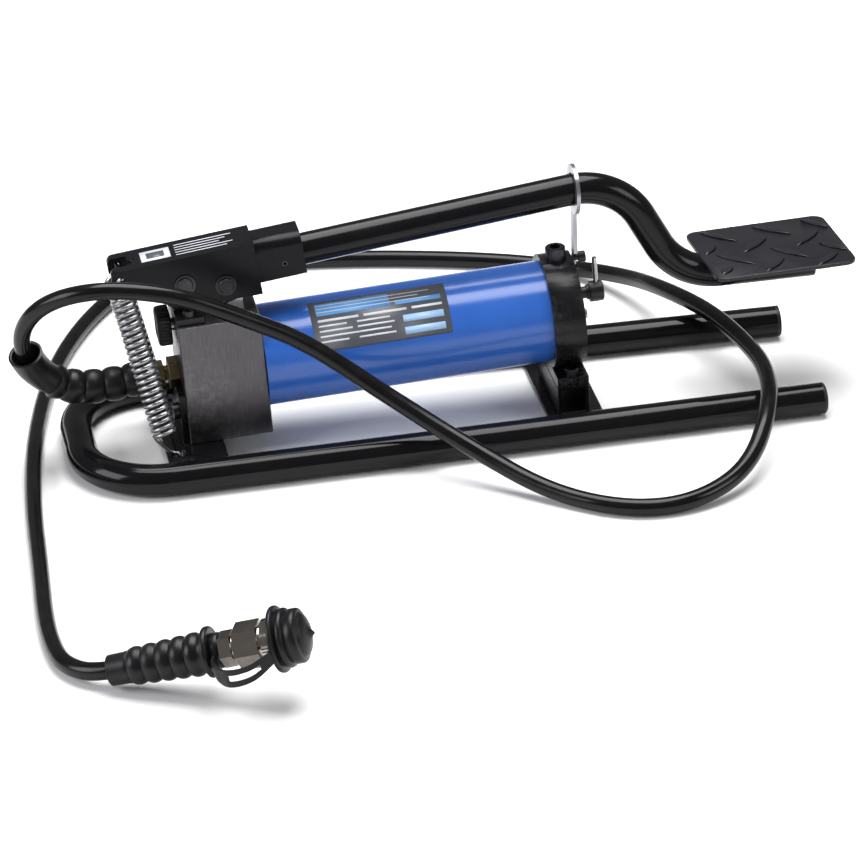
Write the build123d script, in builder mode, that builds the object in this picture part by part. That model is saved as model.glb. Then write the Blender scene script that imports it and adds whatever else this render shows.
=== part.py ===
from build123d import *
from math import cos, pi, radians, sin, tan
import os

# Foot-operated hydraulic pump: tubular base, oil reservoir, pump block, pedal lever,
# high-pressure hose with a quick coupler. Millimetres, +Z up, pedal towards +X.

# ---- Base frame -----------------------------------------------------------------
TUBE_R = 12.5
TUBE_WALL = 2.0
BASE_FRONT_X = -298.8
BASE_REAR_X = 280.0
HALF_SPACING_REAR = 72.2
HALF_SPACING_FRONT = 82.5
BASE_BEND_R = 62.0
PLUG_HEAD = 3.0
PLUG_SPIGOT = 14.0

# ---- Pitched body: block, reservoir and clamp share one axis ----------------------
BODY_X = -16.0
BODY_Z = 76.1
BODY_PITCH = 2.67
BLOCK_U0 = -201.5
BLOCK_U1 = -136.5
BLOCK_HALF_Y = 34.0
BLOCK_W0 = -51.5
BLOCK_W1 = 48.5
RESERVOIR_R = 40.0
RESERVOIR_WALL = 3.0
RESERVOIR_END_U = 112.0
CLAMP_U0 = 90.0
CLAMP_U1 = 115.0
CLAMP_R = 45.0
CLAMP_FLAT_W = 44.0
SPIGOT_R = 36.9
SPIGOT_LENGTH = 8.0
SEAL_WIDTH = 4.0
SEAL_DEPTH = 3.0

# ---- Brackets under the body -------------------------------------------------------
FRONT_PLATE_U0 = -222.0
FRONT_PLATE_U1 = -176.0
FRONT_PLATE_T = 5.0
FRONT_FLANGE_T = 5.0
FRONT_FLANGE_TOP_W = -10.0
FLANGE_NOTCH_R = 13.2
SPRING_HOLE_U = -210.0
SPRING_HOLE_Y = 48.0
SPRING_HOLE_R = 4.0
REAR_PLATE_X0 = 68.5
REAR_PLATE_X1 = 112.5
REAR_PLATE_Z0 = 1.0
REAR_PLATE_Z1 = 5.0
SADDLE_X0 = 76.0
SADDLE_X1 = 101.0
SADDLE_HALF_Y = 38.0
SADDLE_TOP_Z = 30.0
SADDLE_WALL = 2.5
LUG_TOP_Z = 38.0
SADDLE_SCREW_Y = 32.0
SADDLE_SCREW_R = 3.0

# ---- Pump work ---------------------------------------------------------------------
PIVOT_U = -190.3
PIVOT_W = 77.4
CRANK_U = 31.3
CRANK_W = -5.3
PLUNGER_U = -159.8
PLUNGER_R = 8.0
RUN_FIT = 0.05
PIN_R = 6.0
PIN_HALF = 20.0
SLOT_HALF = 7.8
SLOT_CLEAR = 0.35
HEAD_HALF_U = 14.0
HEAD_HALF_Y = 11.0
HEAD_HALF_W = 11.0
PLUNGER_FOOT_W = -10.0
BORE_FOOT_W = -14.0
GLAND_R = 14.0
GLAND_FOOT_W = 30.0
GLAND_TOP_W = 56.0
GLAND_AF = 27.0
OUTLET_W = -3.0
INLET_W = -9.0
SUCTION_Y = 14.0
RELEASE_W = 38.0
RELEASE_R = 5.0

# ---- Lever -------------------------------------------------------------------------
LEVER_ANGLE = 6.78
LEVER_Z = 168.3
BRACKET_HALF_Y = 17.0
BRACKET_T = 4.0
BRACKET_S0 = -249.6
BRACKET_S1 = -137.5
BRACKET_TOP_H = 22.0
SPRING_EYE_S = -243.0
SPRING_EYE_H = 14.0
SOCKET_S1 = -100.7
SOCKET_HALF_Y = 16.0
SOCKET_H0 = -13.3
SOCKET_H1 = 20.6
SOCKET_DEPTH = 29.0
LEVER_BEND_TOP_S = 151.56
LEVER_BEND_LOW = (182.6, 98.5)
LEVER_END_X = 291.6
LEVER_BEND_R = (56.0, 56.0)
PEDAL_X = 257.5
PEDAL_LENGTH = 115.0
PEDAL_WIDTH = 92.0
PEDAL_SKEW = 3.5
PEDAL_Z0 = 111.0
PEDAL_T = 3.0
PEDAL_CORNER_R = 9.0
LINK_S = 116.6
LINK_T = 3.0
LINK_INNER_R = 13.2
LINK_OUTER_R = 20.0
LINK_FOOT_H = -66.0
LOCK_SCREW_W = 42.0
LOCK_SCREW_R = 2.5
LOCK_THREAD_R = 1.8

# ---- Springs -----------------------------------------------------------------------
SPRING_R = 10.2
SPRING_WIRE = 3.0
SPRING_TOP = (-260.9, 15.0, 150.0)
SPRING_FOOT = (-235.6, 48.0, 33.0)
SPRING_HOOK = 14.0

# ---- Hose and its ends -------------------------------------------------------------
HOSE_R = 6.75
BOOT_R = 13.0
BOOT_BORE = 7.0
OUTLET_FACE_U = -226.0
HOSE_ROUTE = [
    (-288.0, 0.0, 54.5),
    (-327.0, -3.0, 74.0),
    (-342.0, -18.0, 115.0),
    (-325.0, -40.0, 152.0),
    (-284.0, -61.0, 170.0),
    (-227.0, -62.0, 160.0),
    (-176.0, -57.0, 133.0),
    (-123.0, -57.0, 104.0),
    (-71.0, -74.0, 64.0),
    (-11.0, -113.0, 28.0),
    (42.0, -164.0, 7.0),
    (94.0, -206.0, 7.0),
    (146.0, -207.0, 7.0),
    (196.0, -177.0, 15.0),
    (227.0, -121.0, 38.0),
    (239.0, -60.0, 39.5),
    (234.0, 0.0, 37.0),
    (219.0, 52.0, 39.5),
    (194.0, 104.0, 38.0),
    (181.0, 166.0, 21.0),
    (150.0, 223.0, 7.0),
    (74.0, 262.0, 7.0),
    (-38.0, 295.0, 7.0),
    (-147.0, 309.0, 7.0),
    (-227.0, 287.0, 7.0),
    (-273.0, 219.0, 7.0),
    (-308.0, 132.0, 7.0),
    (-333.0, 20.0, 7.0),
    (-345.0, -87.0, 7.0),
    (-350.0, -190.0, 7.0),
    (-355.0, -270.0, 7.0),
    (-352.6, -317.7, 7.0),
    (-345.2, -340.5, 8.0),
]
COUPLER_START = (-318.0, -362.0, 13.5)
COUPLER_HEADING = -20.0
COUPLER_PITCH = 15.0
HOSE_END = 12.0
FERRULE_END = 86.0
STRAP_ROUTE = [(82.5, -11.5), (87.0, -30.0), (110.0, -37.0), (125.0, -27.0)]
STRAP_BEND_R = 6.0
STRAP_WIDTH = 9.0
STRAP_T = 2.0
FAR_BOOT = [
    (0, BOOT_BORE),
    (0, 11.5),
    (16, 11.5),
    (18, 13.2),
    (70, 15.2),
    (74, 18.5),
    (79, 18.5),
    (79, 9.6),
    (HOSE_END, 9.6),
    (HOSE_END, BOOT_BORE),
]
CAP = [
    (126, 16.8),
    (126, 24),
    (130, 24),
    (130, 20.5),
    (145.5, 19.4),
    (147, 16),
    (149, 13),
    (155, 0),
    (144, 0),
    (144, 16.8),
]


def tilted(origin, angle, along, across, up, facing):
    """Plane at (along, across, up) of a frame pitched nose-up about Y, facing one way."""
    c, s = cos(radians(angle)), sin(radians(angle))
    point = Vector(origin[0] + along * c - up * s, across, origin[1] + along * s + up * c)
    forward, side, upward = Vector(c, 0, s), Vector(0, -1, 0), Vector(-s, 0, c)
    x_dirs = {"forward": Vector(0, 1, 0), "side": forward, "up": forward}
    z_dirs = {"forward": forward, "side": side, "up": upward}
    return Plane(origin=point, x_dir=x_dirs[facing], z_dir=z_dirs[facing])


def body(u, y, w, facing):
    """Plane in the pitched body: u towards the pedal, w up."""
    return tilted((BODY_X, BODY_Z), BODY_PITCH, u, y, w, facing)


def lever(s, y, h, facing):
    """Plane on the lever: s along its tube, h above the tube's axis."""
    return tilted((BODY_X, LEVER_Z), LEVER_ANGLE, s, y, h, facing)


def coupler(distance):
    """Plane across the coupler's axis, facing its open end."""
    level = cos(radians(COUPLER_PITCH))
    axis = Vector(
        level * cos(radians(COUPLER_HEADING)),
        level * sin(radians(COUPLER_HEADING)),
        sin(radians(COUPLER_PITCH)),
    )
    return Plane(origin=Vector(*COUPLER_START) + axis * distance, z_dir=axis)


def lever_local(point):
    """The lever's (s, h) of a point given in the pitched body's plane."""
    local = lever(0, 0, 0, "side").to_local_coords(point)
    return local.X, local.Y


def arc_radii(points):
    """The largest tangent arc that each corner of a route allows."""
    radii = []
    for before, corner, after in zip(points, points[1:], points[2:]):
        run_in = Vector(*corner) - Vector(*before)
        run_out = Vector(*after) - Vector(*corner)
        turn = run_in.get_angle(run_out)
        radii.append(0.45 * min(run_in.length, run_out.length) / tan(radians(turn / 2)))
    return radii


os.makedirs("parts", exist_ok=True)

# ==== Base frame ======================================================================
FRAME_POINTS = [
    (BASE_REAR_X, -HALF_SPACING_REAR, TUBE_R),
    (BASE_FRONT_X, -HALF_SPACING_FRONT, TUBE_R),
    (BASE_FRONT_X, HALF_SPACING_FRONT, TUBE_R),
    (BASE_REAR_X, HALF_SPACING_REAR, TUBE_R),
]

with BuildPart() as frame_envelope:
    with BuildLine() as frame_path:
        FilletPolyline(*FRAME_POINTS, radius=BASE_BEND_R)
    with BuildSketch(Plane(origin=frame_path.line @ 0, z_dir=frame_path.line % 0)):
        Circle(TUBE_R)
    sweep(path=frame_path.line)

with BuildPart() as frame_tube:
    with BuildSketch(Plane(origin=frame_path.line @ 0, z_dir=frame_path.line % 0)):
        Circle(TUBE_R)
        Circle(TUBE_R - TUBE_WALL, mode=Mode.SUBTRACT)
    sweep(path=frame_path.line)
frame_tube.part.label = "frame_tube"
export_step(frame_tube.part, "parts/frame_tube.step")

LEG_ENDS = [
    Plane(origin=frame_path.line @ 0, z_dir=(frame_path.line % 0) * -1),
    Plane(origin=frame_path.line @ 1, z_dir=frame_path.line % 1),
]

with BuildPart() as leg_plugs:
    for leg_end in LEG_ENDS:
        with BuildSketch(leg_end):
            Circle(TUBE_R)
        extrude(amount=PLUG_HEAD)
        with BuildSketch(leg_end):
            Circle(TUBE_R - TUBE_WALL)
        extrude(amount=-PLUG_SPIGOT)
    fillet(leg_plugs.edges().group_by(Axis.X)[-1], 2.0)
leg_plugs.part.label = "leg_plugs"
export_step(leg_plugs.part, "parts/leg_plugs.step")

with BuildPart() as front_bracket:
    with BuildSketch(body((FRONT_PLATE_U0 + FRONT_PLATE_U1) / 2, 0, BLOCK_W0, "up")):
        Rectangle(FRONT_PLATE_U1 - FRONT_PLATE_U0, 2 * HALF_SPACING_REAR + 14)
    extrude(amount=-FRONT_PLATE_T)
    with BuildSketch(body(BLOCK_U0, 0, BLOCK_W0, "forward")):
        with Locations((0, (FRONT_FLANGE_TOP_W - BLOCK_W0) / 2)):
            Rectangle(2 * BLOCK_HALF_Y - 4, FRONT_FLANGE_TOP_W - BLOCK_W0)
    extrude(amount=-FRONT_FLANGE_T)
    with BuildSketch(body(BLOCK_U0, 0, OUTLET_W, "forward")):
        Circle(FLANGE_NOTCH_R)
    extrude(amount=-FRONT_FLANGE_T, mode=Mode.SUBTRACT)
    with BuildSketch(body(SPRING_HOLE_U, 0, BLOCK_W0, "up")):
        with Locations((0, SPRING_HOLE_Y), (0, -SPRING_HOLE_Y)):
            Circle(SPRING_HOLE_R)
    extrude(amount=-2 * FRONT_PLATE_T, mode=Mode.SUBTRACT)
    with BuildSketch(body(BLOCK_U0, 0, -26, "forward")):
        with Locations((22, 0), (-22, 0)):
            Circle(4.0)
    extrude(amount=-2 * FRONT_FLANGE_T, mode=Mode.SUBTRACT)
    add(frame_envelope.part, mode=Mode.SUBTRACT)
front_bracket.part.label = "front_bracket"
export_step(front_bracket.part, "parts/front_bracket.step")

with BuildPart() as rear_cross_plate:
    with BuildSketch(Plane.XY.offset(REAR_PLATE_Z0)):
        with Locations(((REAR_PLATE_X0 + REAR_PLATE_X1) / 2, 0)):
            Rectangle(REAR_PLATE_X1 - REAR_PLATE_X0, 2 * HALF_SPACING_REAR + 8)
    extrude(amount=REAR_PLATE_Z1 - REAR_PLATE_Z0)
    add(frame_envelope.part, mode=Mode.SUBTRACT)
rear_cross_plate.part.label = "rear_cross_plate"
export_step(rear_cross_plate.part, "parts/rear_cross_plate.step")

SADDLE_X = (SADDLE_X0 + SADDLE_X1) / 2
with BuildPart() as saddle_bar:
    with BuildSketch(Plane.XZ.offset(-SADDLE_HALF_Y)):
        with Locations((SADDLE_X, (REAR_PLATE_Z1 + SADDLE_TOP_Z) / 2)):
            RectangleRounded(SADDLE_X1 - SADDLE_X0, SADDLE_TOP_Z - REAR_PLATE_Z1, 2.0)
            Rectangle(
                SADDLE_X1 - SADDLE_X0 - 2 * SADDLE_WALL,
                SADDLE_TOP_Z - REAR_PLATE_Z1 - 2 * SADDLE_WALL,
                mode=Mode.SUBTRACT,
            )
    extrude(amount=2 * SADDLE_HALF_Y)
    with BuildSketch(Plane.XY.offset(SADDLE_TOP_Z)):
        with Locations((SADDLE_X, SADDLE_SCREW_Y), (SADDLE_X, -SADDLE_SCREW_Y)):
            Circle(SADDLE_SCREW_R)
    extrude(amount=-2 * SADDLE_WALL, mode=Mode.SUBTRACT)
saddle_bar.part.label = "saddle_bar"
export_step(saddle_bar.part, "parts/saddle_bar.step")

# ==== Reservoir and its clamp ===========================================================
with BuildPart() as reservoir_tube:
    with BuildSketch(body(BLOCK_U1, 0, 0, "forward")):
        Circle(RESERVOIR_R)
        Circle(RESERVOIR_R - RESERVOIR_WALL, mode=Mode.SUBTRACT)
    extrude(amount=RESERVOIR_END_U - BLOCK_U1)
    with BuildSketch(body((CLAMP_U0 + CLAMP_U1) / 2, 0, 0, "up")):
        Circle(5.0)
    extrude(amount=2 * RESERVOIR_R, mode=Mode.SUBTRACT)
reservoir_tube.part.label = "reservoir_tube"
export_step(reservoir_tube.part, "parts/reservoir_tube.step")

with BuildPart() as ring_clamp:
    with BuildSketch(Plane.XY.offset(SADDLE_TOP_Z)):
        with Locations((SADDLE_X, 0)):
            Rectangle(SADDLE_X1 - SADDLE_X0, 2 * SADDLE_HALF_Y)
    extrude(amount=LUG_TOP_Z - SADDLE_TOP_Z)
    with BuildSketch(body(CLAMP_U0, 0, 0, "forward")):
        Circle(CLAMP_R)
    extrude(amount=CLAMP_U1 - CLAMP_U0)
    with BuildSketch(body(CLAMP_U0 - 1, 0, CLAMP_FLAT_W, "forward")):
        Rectangle(2 * CLAMP_R, 10, align=(Align.CENTER, Align.MIN))
    extrude(amount=CLAMP_U1 - CLAMP_U0 + 2, mode=Mode.SUBTRACT)
    with BuildSketch(body(CLAMP_U0 - 10, 0, 0, "forward")):
        Circle(RESERVOIR_R)
    extrude(amount=CLAMP_U1 - CLAMP_U0 + 20, mode=Mode.SUBTRACT)
    with BuildSketch(body((CLAMP_U0 + CLAMP_U1) / 2, 0, 0, "up")):
        Circle(5.0)
    extrude(amount=2 * RESERVOIR_R, mode=Mode.SUBTRACT)
    with BuildSketch(Plane.XY.offset(LUG_TOP_Z)):
        with Locations((SADDLE_X, SADDLE_SCREW_Y), (SADDLE_X, -SADDLE_SCREW_Y)):
            Circle(SADDLE_SCREW_R)
    extrude(amount=SADDLE_TOP_Z - LUG_TOP_Z, mode=Mode.SUBTRACT)
    with BuildSketch(body(CLAMP_U1, 0, LOCK_SCREW_W, "forward")):
        Circle(LOCK_THREAD_R)
    extrude(amount=-6, mode=Mode.SUBTRACT)
ring_clamp.part.label = "ring_clamp"
export_step(ring_clamp.part, "parts/ring_clamp.step")

with BuildPart() as saddle_screws:
    for screw_y in (-SADDLE_SCREW_Y, SADDLE_SCREW_Y):
        with BuildSketch(Plane.XY.offset(LUG_TOP_Z)):
            with Locations((SADDLE_X, screw_y)):
                Circle(5.0)
        extrude(amount=6)
        with BuildSketch(Plane.XY.offset(LUG_TOP_Z)):
            with Locations((SADDLE_X, screw_y)):
                Circle(SADDLE_SCREW_R)
        extrude(amount=-14)
        with BuildSketch(Plane.XY.offset(LUG_TOP_Z + 6)):
            with Locations((SADDLE_X, screw_y)):
                RegularPolygon(2.9, 6)
        extrude(amount=-3.5, mode=Mode.SUBTRACT)
saddle_screws.part.label = "saddle_screws"
export_step(saddle_screws.part, "parts/saddle_screws.step")

with BuildPart() as filler_screw:
    with BuildSketch(body((CLAMP_U0 + CLAMP_U1) / 2, 0, CLAMP_FLAT_W, "up")):
        Circle(8.0)
    extrude(amount=10)
    chamfer(filler_screw.faces().sort_by(Axis.Z)[-1].edges(), 0.8)
    with BuildSketch(body((CLAMP_U0 + CLAMP_U1) / 2, 0, CLAMP_FLAT_W, "up")):
        Circle(5.0)
    extrude(amount=SPIGOT_R + 0.3 - CLAMP_FLAT_W)
    with BuildSketch(body((CLAMP_U0 + CLAMP_U1) / 2, 0, CLAMP_FLAT_W + 10, "up")):
        RegularPolygon(4.6, 6)
    extrude(amount=-6, mode=Mode.SUBTRACT)
filler_screw.part.label = "filler_screw"
export_step(filler_screw.part, "parts/filler_screw.step")

VENT_W = 10.5
TIE_W = -8.0
with BuildPart() as end_cap:
    with BuildSketch(body(CLAMP_U1 - 15, 0, 0, "forward")):
        Circle(SPIGOT_R)
    extrude(amount=12)
    with BuildSketch(body(RESERVOIR_END_U, 0, 0, "forward")):
        Circle(RESERVOIR_R - 0.1)
    extrude(amount=CLAMP_U1 - RESERVOIR_END_U)
    with BuildSketch(body(CLAMP_U1 - 11, 0, 0, "forward")):
        Circle(SPIGOT_R)
        Circle(SPIGOT_R - SEAL_DEPTH, mode=Mode.SUBTRACT)
    extrude(amount=SEAL_WIDTH, mode=Mode.SUBTRACT)
    with BuildSketch(body(CLAMP_U1 + 1, 0, VENT_W, "forward")):
        Circle(4.8)
    extrude(amount=-20, mode=Mode.SUBTRACT)
    with BuildSketch(body(CLAMP_U1 + 1, 0, TIE_W, "forward")):
        Circle(4.0)
    extrude(amount=-20, mode=Mode.SUBTRACT)
end_cap.part.label = "end_cap"
export_step(end_cap.part, "parts/end_cap.step")

SEAL_FACES = {"tank_seal_rear": CLAMP_U1 - 11, "tank_seal_front": BLOCK_U1 + 2}
for seal_name, seal_u in SEAL_FACES.items():
    with BuildPart() as tank_seal:
        with BuildSketch(body(seal_u, 0, 0, "forward")):
            Circle(RESERVOIR_R - RESERVOIR_WALL)
            Circle(SPIGOT_R - SEAL_DEPTH, mode=Mode.SUBTRACT)
        extrude(amount=SEAL_WIDTH)
    tank_seal.part.label = seal_name
    export_step(tank_seal.part, f"parts/{seal_name}.step")

with BuildPart() as tie_rod:
    with BuildSketch(body(BLOCK_U1 - 12, 0, TIE_W, "forward")):
        Circle(4.0)
    extrude(amount=CLAMP_U1 - BLOCK_U1 + 21)
tie_rod.part.label = "tie_rod"
export_step(tie_rod.part, "parts/tie_rod.step")

with BuildPart() as tie_rod_nut:
    with BuildSketch(body(CLAMP_U1, 0, TIE_W, "forward")):
        RegularPolygon(6.5, 6, major_radius=False)
        Circle(4.0, mode=Mode.SUBTRACT)
    extrude(amount=6.5)
    chamfer(tie_rod_nut.faces().sort_by(Axis.X)[-1].edges().sort_by(SortBy.LENGTH)[:6], 0.5)
tie_rod_nut.part.label = "tie_rod_nut"
export_step(tie_rod_nut.part, "parts/tie_rod_nut.step")

# ==== Vent screw with its sliding pin, and the lock screw ===============================
VENT_KNOB_U = 127.0
VENT_PIN_U = 133.0
with BuildPart() as vent_screw:
    with BuildSketch(body(CLAMP_U1 - 12, 0, VENT_W, "forward")):
        Circle(4.75)
    extrude(amount=VENT_KNOB_U - CLAMP_U1 + 12)
    with BuildSketch(body(VENT_KNOB_U - 2, 0, VENT_W, "forward")):
        Circle(6.0)
    extrude(amount=2)
    with BuildSketch(body(VENT_KNOB_U, 0, VENT_W, "forward")):
        Circle(8.25)
    extrude(amount=11)
    chamfer(vent_screw.faces().sort_by(Axis.X)[-1].edges(), 0.8)
    with BuildSketch(body(VENT_PIN_U, 0, VENT_W, "up")):
        Circle(2.0)
    extrude(amount=20, both=True, mode=Mode.SUBTRACT)
vent_screw.part.label = "vent_screw"
export_step(vent_screw.part, "parts/vent_screw.step")

with BuildPart() as vent_pin:
    with BuildSketch(body(VENT_PIN_U, 0, VENT_W - 8.8, "up")):
        Circle(2.0 - RUN_FIT)
    extrude(amount=38)
    chamfer(vent_pin.edges().filter_by(GeomType.CIRCLE), 0.4)
vent_pin.part.label = "vent_pin"
export_step(vent_pin.part, "parts/vent_pin.step")

LOCK_HEAD_U = 120.4
with BuildPart() as lock_screw:
    with BuildSketch(body(CLAMP_U1 - 6, 0, LOCK_SCREW_W, "forward")):
        Circle(LOCK_THREAD_R)
    extrude(amount=6)
    with BuildSketch(body(CLAMP_U1, 0, LOCK_SCREW_W, "forward")):
        Circle(LOCK_SCREW_R)
    extrude(amount=LOCK_HEAD_U - CLAMP_U1)
    with BuildSketch(body(LOCK_HEAD_U, 0, LOCK_SCREW_W, "forward")):
        Circle(4.5)
    extrude(amount=5.5)
    chamfer(lock_screw.faces().sort_by(Axis.X)[-1].edges(), 0.6)
lock_screw.part.label = "lock_screw"
export_step(lock_screw.part, "parts/lock_screw.step")

# ==== Pump block and what it holds ======================================================
BLOCK_LENGTH = BLOCK_U1 - BLOCK_U0
BLOCK_U = (BLOCK_U0 + BLOCK_U1) / 2
with BuildPart() as pump_block:
    with BuildSketch(body(BLOCK_U, 0, BLOCK_W0, "up")):
        Rectangle(BLOCK_LENGTH, 2 * BLOCK_HALF_Y)
    extrude(amount=BLOCK_W1 - BLOCK_W0)
    chamfer(pump_block.edges(), 0.8)
    with BuildSketch(body(BLOCK_U1, 0, 0, "forward")):
        Circle(SPIGOT_R)
    extrude(amount=SPIGOT_LENGTH)
    with BuildSketch(body(BLOCK_U1 + 2, 0, 0, "forward")):
        Circle(SPIGOT_R)
        Circle(SPIGOT_R - SEAL_DEPTH, mode=Mode.SUBTRACT)
    extrude(amount=SEAL_WIDTH, mode=Mode.SUBTRACT)
    with BuildSketch(body(PLUNGER_U, 0, BLOCK_W1, "up")):
        Circle(PLUNGER_R + RUN_FIT)
    extrude(amount=BORE_FOOT_W - BLOCK_W1, mode=Mode.SUBTRACT)
    with BuildSketch(body(PLUNGER_U, 0, BLOCK_W1, "up")):
        Circle(GLAND_R)
    extrude(amount=GLAND_FOOT_W - BLOCK_W1, mode=Mode.SUBTRACT)
    with BuildSketch(body(PLUNGER_U, 0, GLAND_FOOT_W, "up")):
        Circle(GLAND_R - 2)
    extrude(amount=-6, mode=Mode.SUBTRACT)
    with BuildSketch(body(BLOCK_U0, 0, OUTLET_W, "forward")):
        Circle(6.0)
    extrude(amount=24, mode=Mode.SUBTRACT)
    with BuildSketch(body(BLOCK_U0, 0, OUTLET_W, "forward")):
        Circle(2.5)
    extrude(amount=40, mode=Mode.SUBTRACT)
    with BuildSketch(body(BLOCK_U1 + SPIGOT_LENGTH, 0, INLET_W, "forward")):
        with Locations((SUCTION_Y, -14)):
            Circle(4.0)
    extrude(amount=-20, mode=Mode.SUBTRACT)
    with BuildSketch(body(BLOCK_U1 + SPIGOT_LENGTH, 0, TIE_W, "forward")):
        Circle(4.0)
    extrude(amount=-SPIGOT_LENGTH - 12, mode=Mode.SUBTRACT)
    with BuildSketch(body(BLOCK_U0, 0, RELEASE_W, "forward")):
        Circle(RELEASE_R)
    extrude(amount=18, mode=Mode.SUBTRACT)
    with BuildSketch(body(BLOCK_U0, 0, -26, "forward")):
        with Locations((22, 0), (-22, 0)):
            Circle(4.0)
    extrude(amount=12, mode=Mode.SUBTRACT)
    with BuildSketch(body(PIVOT_U, 0, BLOCK_W1, "up")):
        with Locations((0, 23), (0, -23)):
            Circle(3.0)
    extrude(amount=-12, mode=Mode.SUBTRACT)
pump_block.part.label = "pump_block"
export_step(pump_block.part, "parts/pump_block.step")

with BuildPart() as bracket_screws:
    for screw_y in (-22, 22):
        with BuildSketch(body(BLOCK_U0 - FRONT_FLANGE_T, screw_y, -26, "forward")):
            Circle(6.5)
        extrude(amount=-5)
        with BuildSketch(body(BLOCK_U0 - FRONT_FLANGE_T, screw_y, -26, "forward")):
            Circle(4.0)
        extrude(amount=FRONT_FLANGE_T + 12)
        with BuildSketch(body(BLOCK_U0 - FRONT_FLANGE_T - 5, screw_y, -26, "forward")):
            RegularPolygon(3.5, 6)
        extrude(amount=3.5, mode=Mode.SUBTRACT)
bracket_screws.part.label = "bracket_screws"
export_step(bracket_screws.part, "parts/bracket_screws.step")

with BuildPart() as outlet_check_ball:
    for ball_u, ball_w in ((BLOCK_U0 + 20, OUTLET_W),):
        with BuildSketch(body(ball_u, 0, ball_w, "side")):
            Circle(4.0)
            Rectangle(10, 10, align=(Align.CENTER, Align.MAX), mode=Mode.SUBTRACT)
        revolve(axis=Axis(body(ball_u, 0, ball_w, "side").origin, body(0, 0, 0, "forward").z_dir))
outlet_check_ball.part.label = "outlet_check_ball"
export_step(outlet_check_ball.part, "parts/outlet_check_ball.step")

with BuildPart() as suction_tube:
    with BuildSketch(body(BLOCK_U1 + SPIGOT_LENGTH - 14, SUCTION_Y, INLET_W - 14, "forward")):
        Circle(4.0)
        Circle(2.8, mode=Mode.SUBTRACT)
    extrude(amount=44)
suction_tube.part.label = "suction_tube"
export_step(suction_tube.part, "parts/suction_tube.step")

with BuildPart() as suction_strainer:
    with BuildSketch(body(BLOCK_U1 + SPIGOT_LENGTH + 30, SUCTION_Y, INLET_W - 14, "forward")):
        Circle(7.0)
        Circle(2.8, mode=Mode.SUBTRACT)
    extrude(amount=24)
suction_strainer.part.label = "suction_strainer"
export_step(suction_strainer.part, "parts/suction_strainer.step")

with BuildPart() as gland_nut:
    with BuildSketch(body(PLUNGER_U, 0, GLAND_FOOT_W, "up")):
        Circle(GLAND_R)
    extrude(amount=BLOCK_W1 - GLAND_FOOT_W)
    with BuildSketch(body(PLUNGER_U, 0, BLOCK_W1, "up")):
        RegularPolygon(GLAND_AF / 2, 6, major_radius=False, rotation=30)
    extrude(amount=GLAND_TOP_W - BLOCK_W1)
    with BuildSketch(body(PLUNGER_U, 0, GLAND_TOP_W, "up")):
        Circle(PLUNGER_R + RUN_FIT)
    extrude(amount=GLAND_FOOT_W - GLAND_TOP_W, mode=Mode.SUBTRACT)
gland_nut.part.label = "gland_nut"
export_step(gland_nut.part, "parts/gland_nut.step")

with BuildPart() as plunger_seal:
    with BuildSketch(body(PLUNGER_U, 0, GLAND_FOOT_W, "up")):
        Circle(GLAND_R - 2)
        Circle(PLUNGER_R + RUN_FIT, mode=Mode.SUBTRACT)
    extrude(amount=-6)
plunger_seal.part.label = "plunger_seal"
export_step(plunger_seal.part, "parts/plunger_seal.step")

PIN_U = PIVOT_U + CRANK_U
PIN_W = PIVOT_W + CRANK_W
with BuildPart() as plunger:
    with BuildSketch(body(PLUNGER_U, 0, PIN_W, "side")):
        RectangleRounded(2 * HEAD_HALF_U, 2 * HEAD_HALF_W, 4.0)
    extrude(amount=HEAD_HALF_Y, both=True)
    with BuildSketch(body(PLUNGER_U, 0, PIN_W - HEAD_HALF_W + 1, "up")):
        Circle(PLUNGER_R)
    extrude(amount=PLUNGER_FOOT_W - (PIN_W - HEAD_HALF_W + 1))
    with BuildSketch(body(PLUNGER_U, 0, PIN_W, "side")):
        RectangleRounded(2 * SLOT_HALF, 2 * (PIN_R + SLOT_CLEAR), PIN_R)
    extrude(amount=HEAD_HALF_Y + 1, both=True, mode=Mode.SUBTRACT)
    chamfer(plunger.faces().sort_by(Axis.Z)[0].edges(), 1.0)
plunger.part.label = "plunger"
export_step(plunger.part, "parts/plunger.step")

with BuildPart() as pivot_lug:
    with BuildSketch(body(PIVOT_U, 0, BLOCK_W1, "up")):
        Rectangle(22, 60)
    extrude(amount=5.5)
    with BuildSketch(body(PIVOT_U, 0, 0, "side")):
        with Locations((0, (BLOCK_W1 + PIVOT_W) / 2)):
            Rectangle(20, PIVOT_W - BLOCK_W1)
        with Locations((0, PIVOT_W)):
            Circle(10)
    extrude(amount=12, both=True)
    with BuildSketch(body(PIVOT_U, 0, PIVOT_W, "side")):
        Circle(PIN_R + RUN_FIT)
    extrude(amount=14, both=True, mode=Mode.SUBTRACT)
    with BuildSketch(body(PIVOT_U, 0, BLOCK_W1, "up")):
        with Locations((0, 23), (0, -23)):
            Circle(3.0)
    extrude(amount=8, mode=Mode.SUBTRACT)
pivot_lug.part.label = "pivot_lug"
export_step(pivot_lug.part, "parts/pivot_lug.step")

with BuildPart() as lug_screws:
    for screw_y in (-23, 23):
        with BuildSketch(body(PIVOT_U, screw_y, BLOCK_W1 + 5.5, "up")):
            Circle(5.0)
        extrude(amount=5)
        with BuildSketch(body(PIVOT_U, screw_y, BLOCK_W1 + 5.5, "up")):
            Circle(3.0)
        extrude(amount=-16)
        with BuildSketch(body(PIVOT_U, screw_y, BLOCK_W1 + 10.5, "up")):
            RegularPolygon(2.9, 6)
        extrude(amount=-3.5, mode=Mode.SUBTRACT)
lug_screws.part.label = "lug_screws"
export_step(lug_screws.part, "parts/lug_screws.step")

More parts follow.
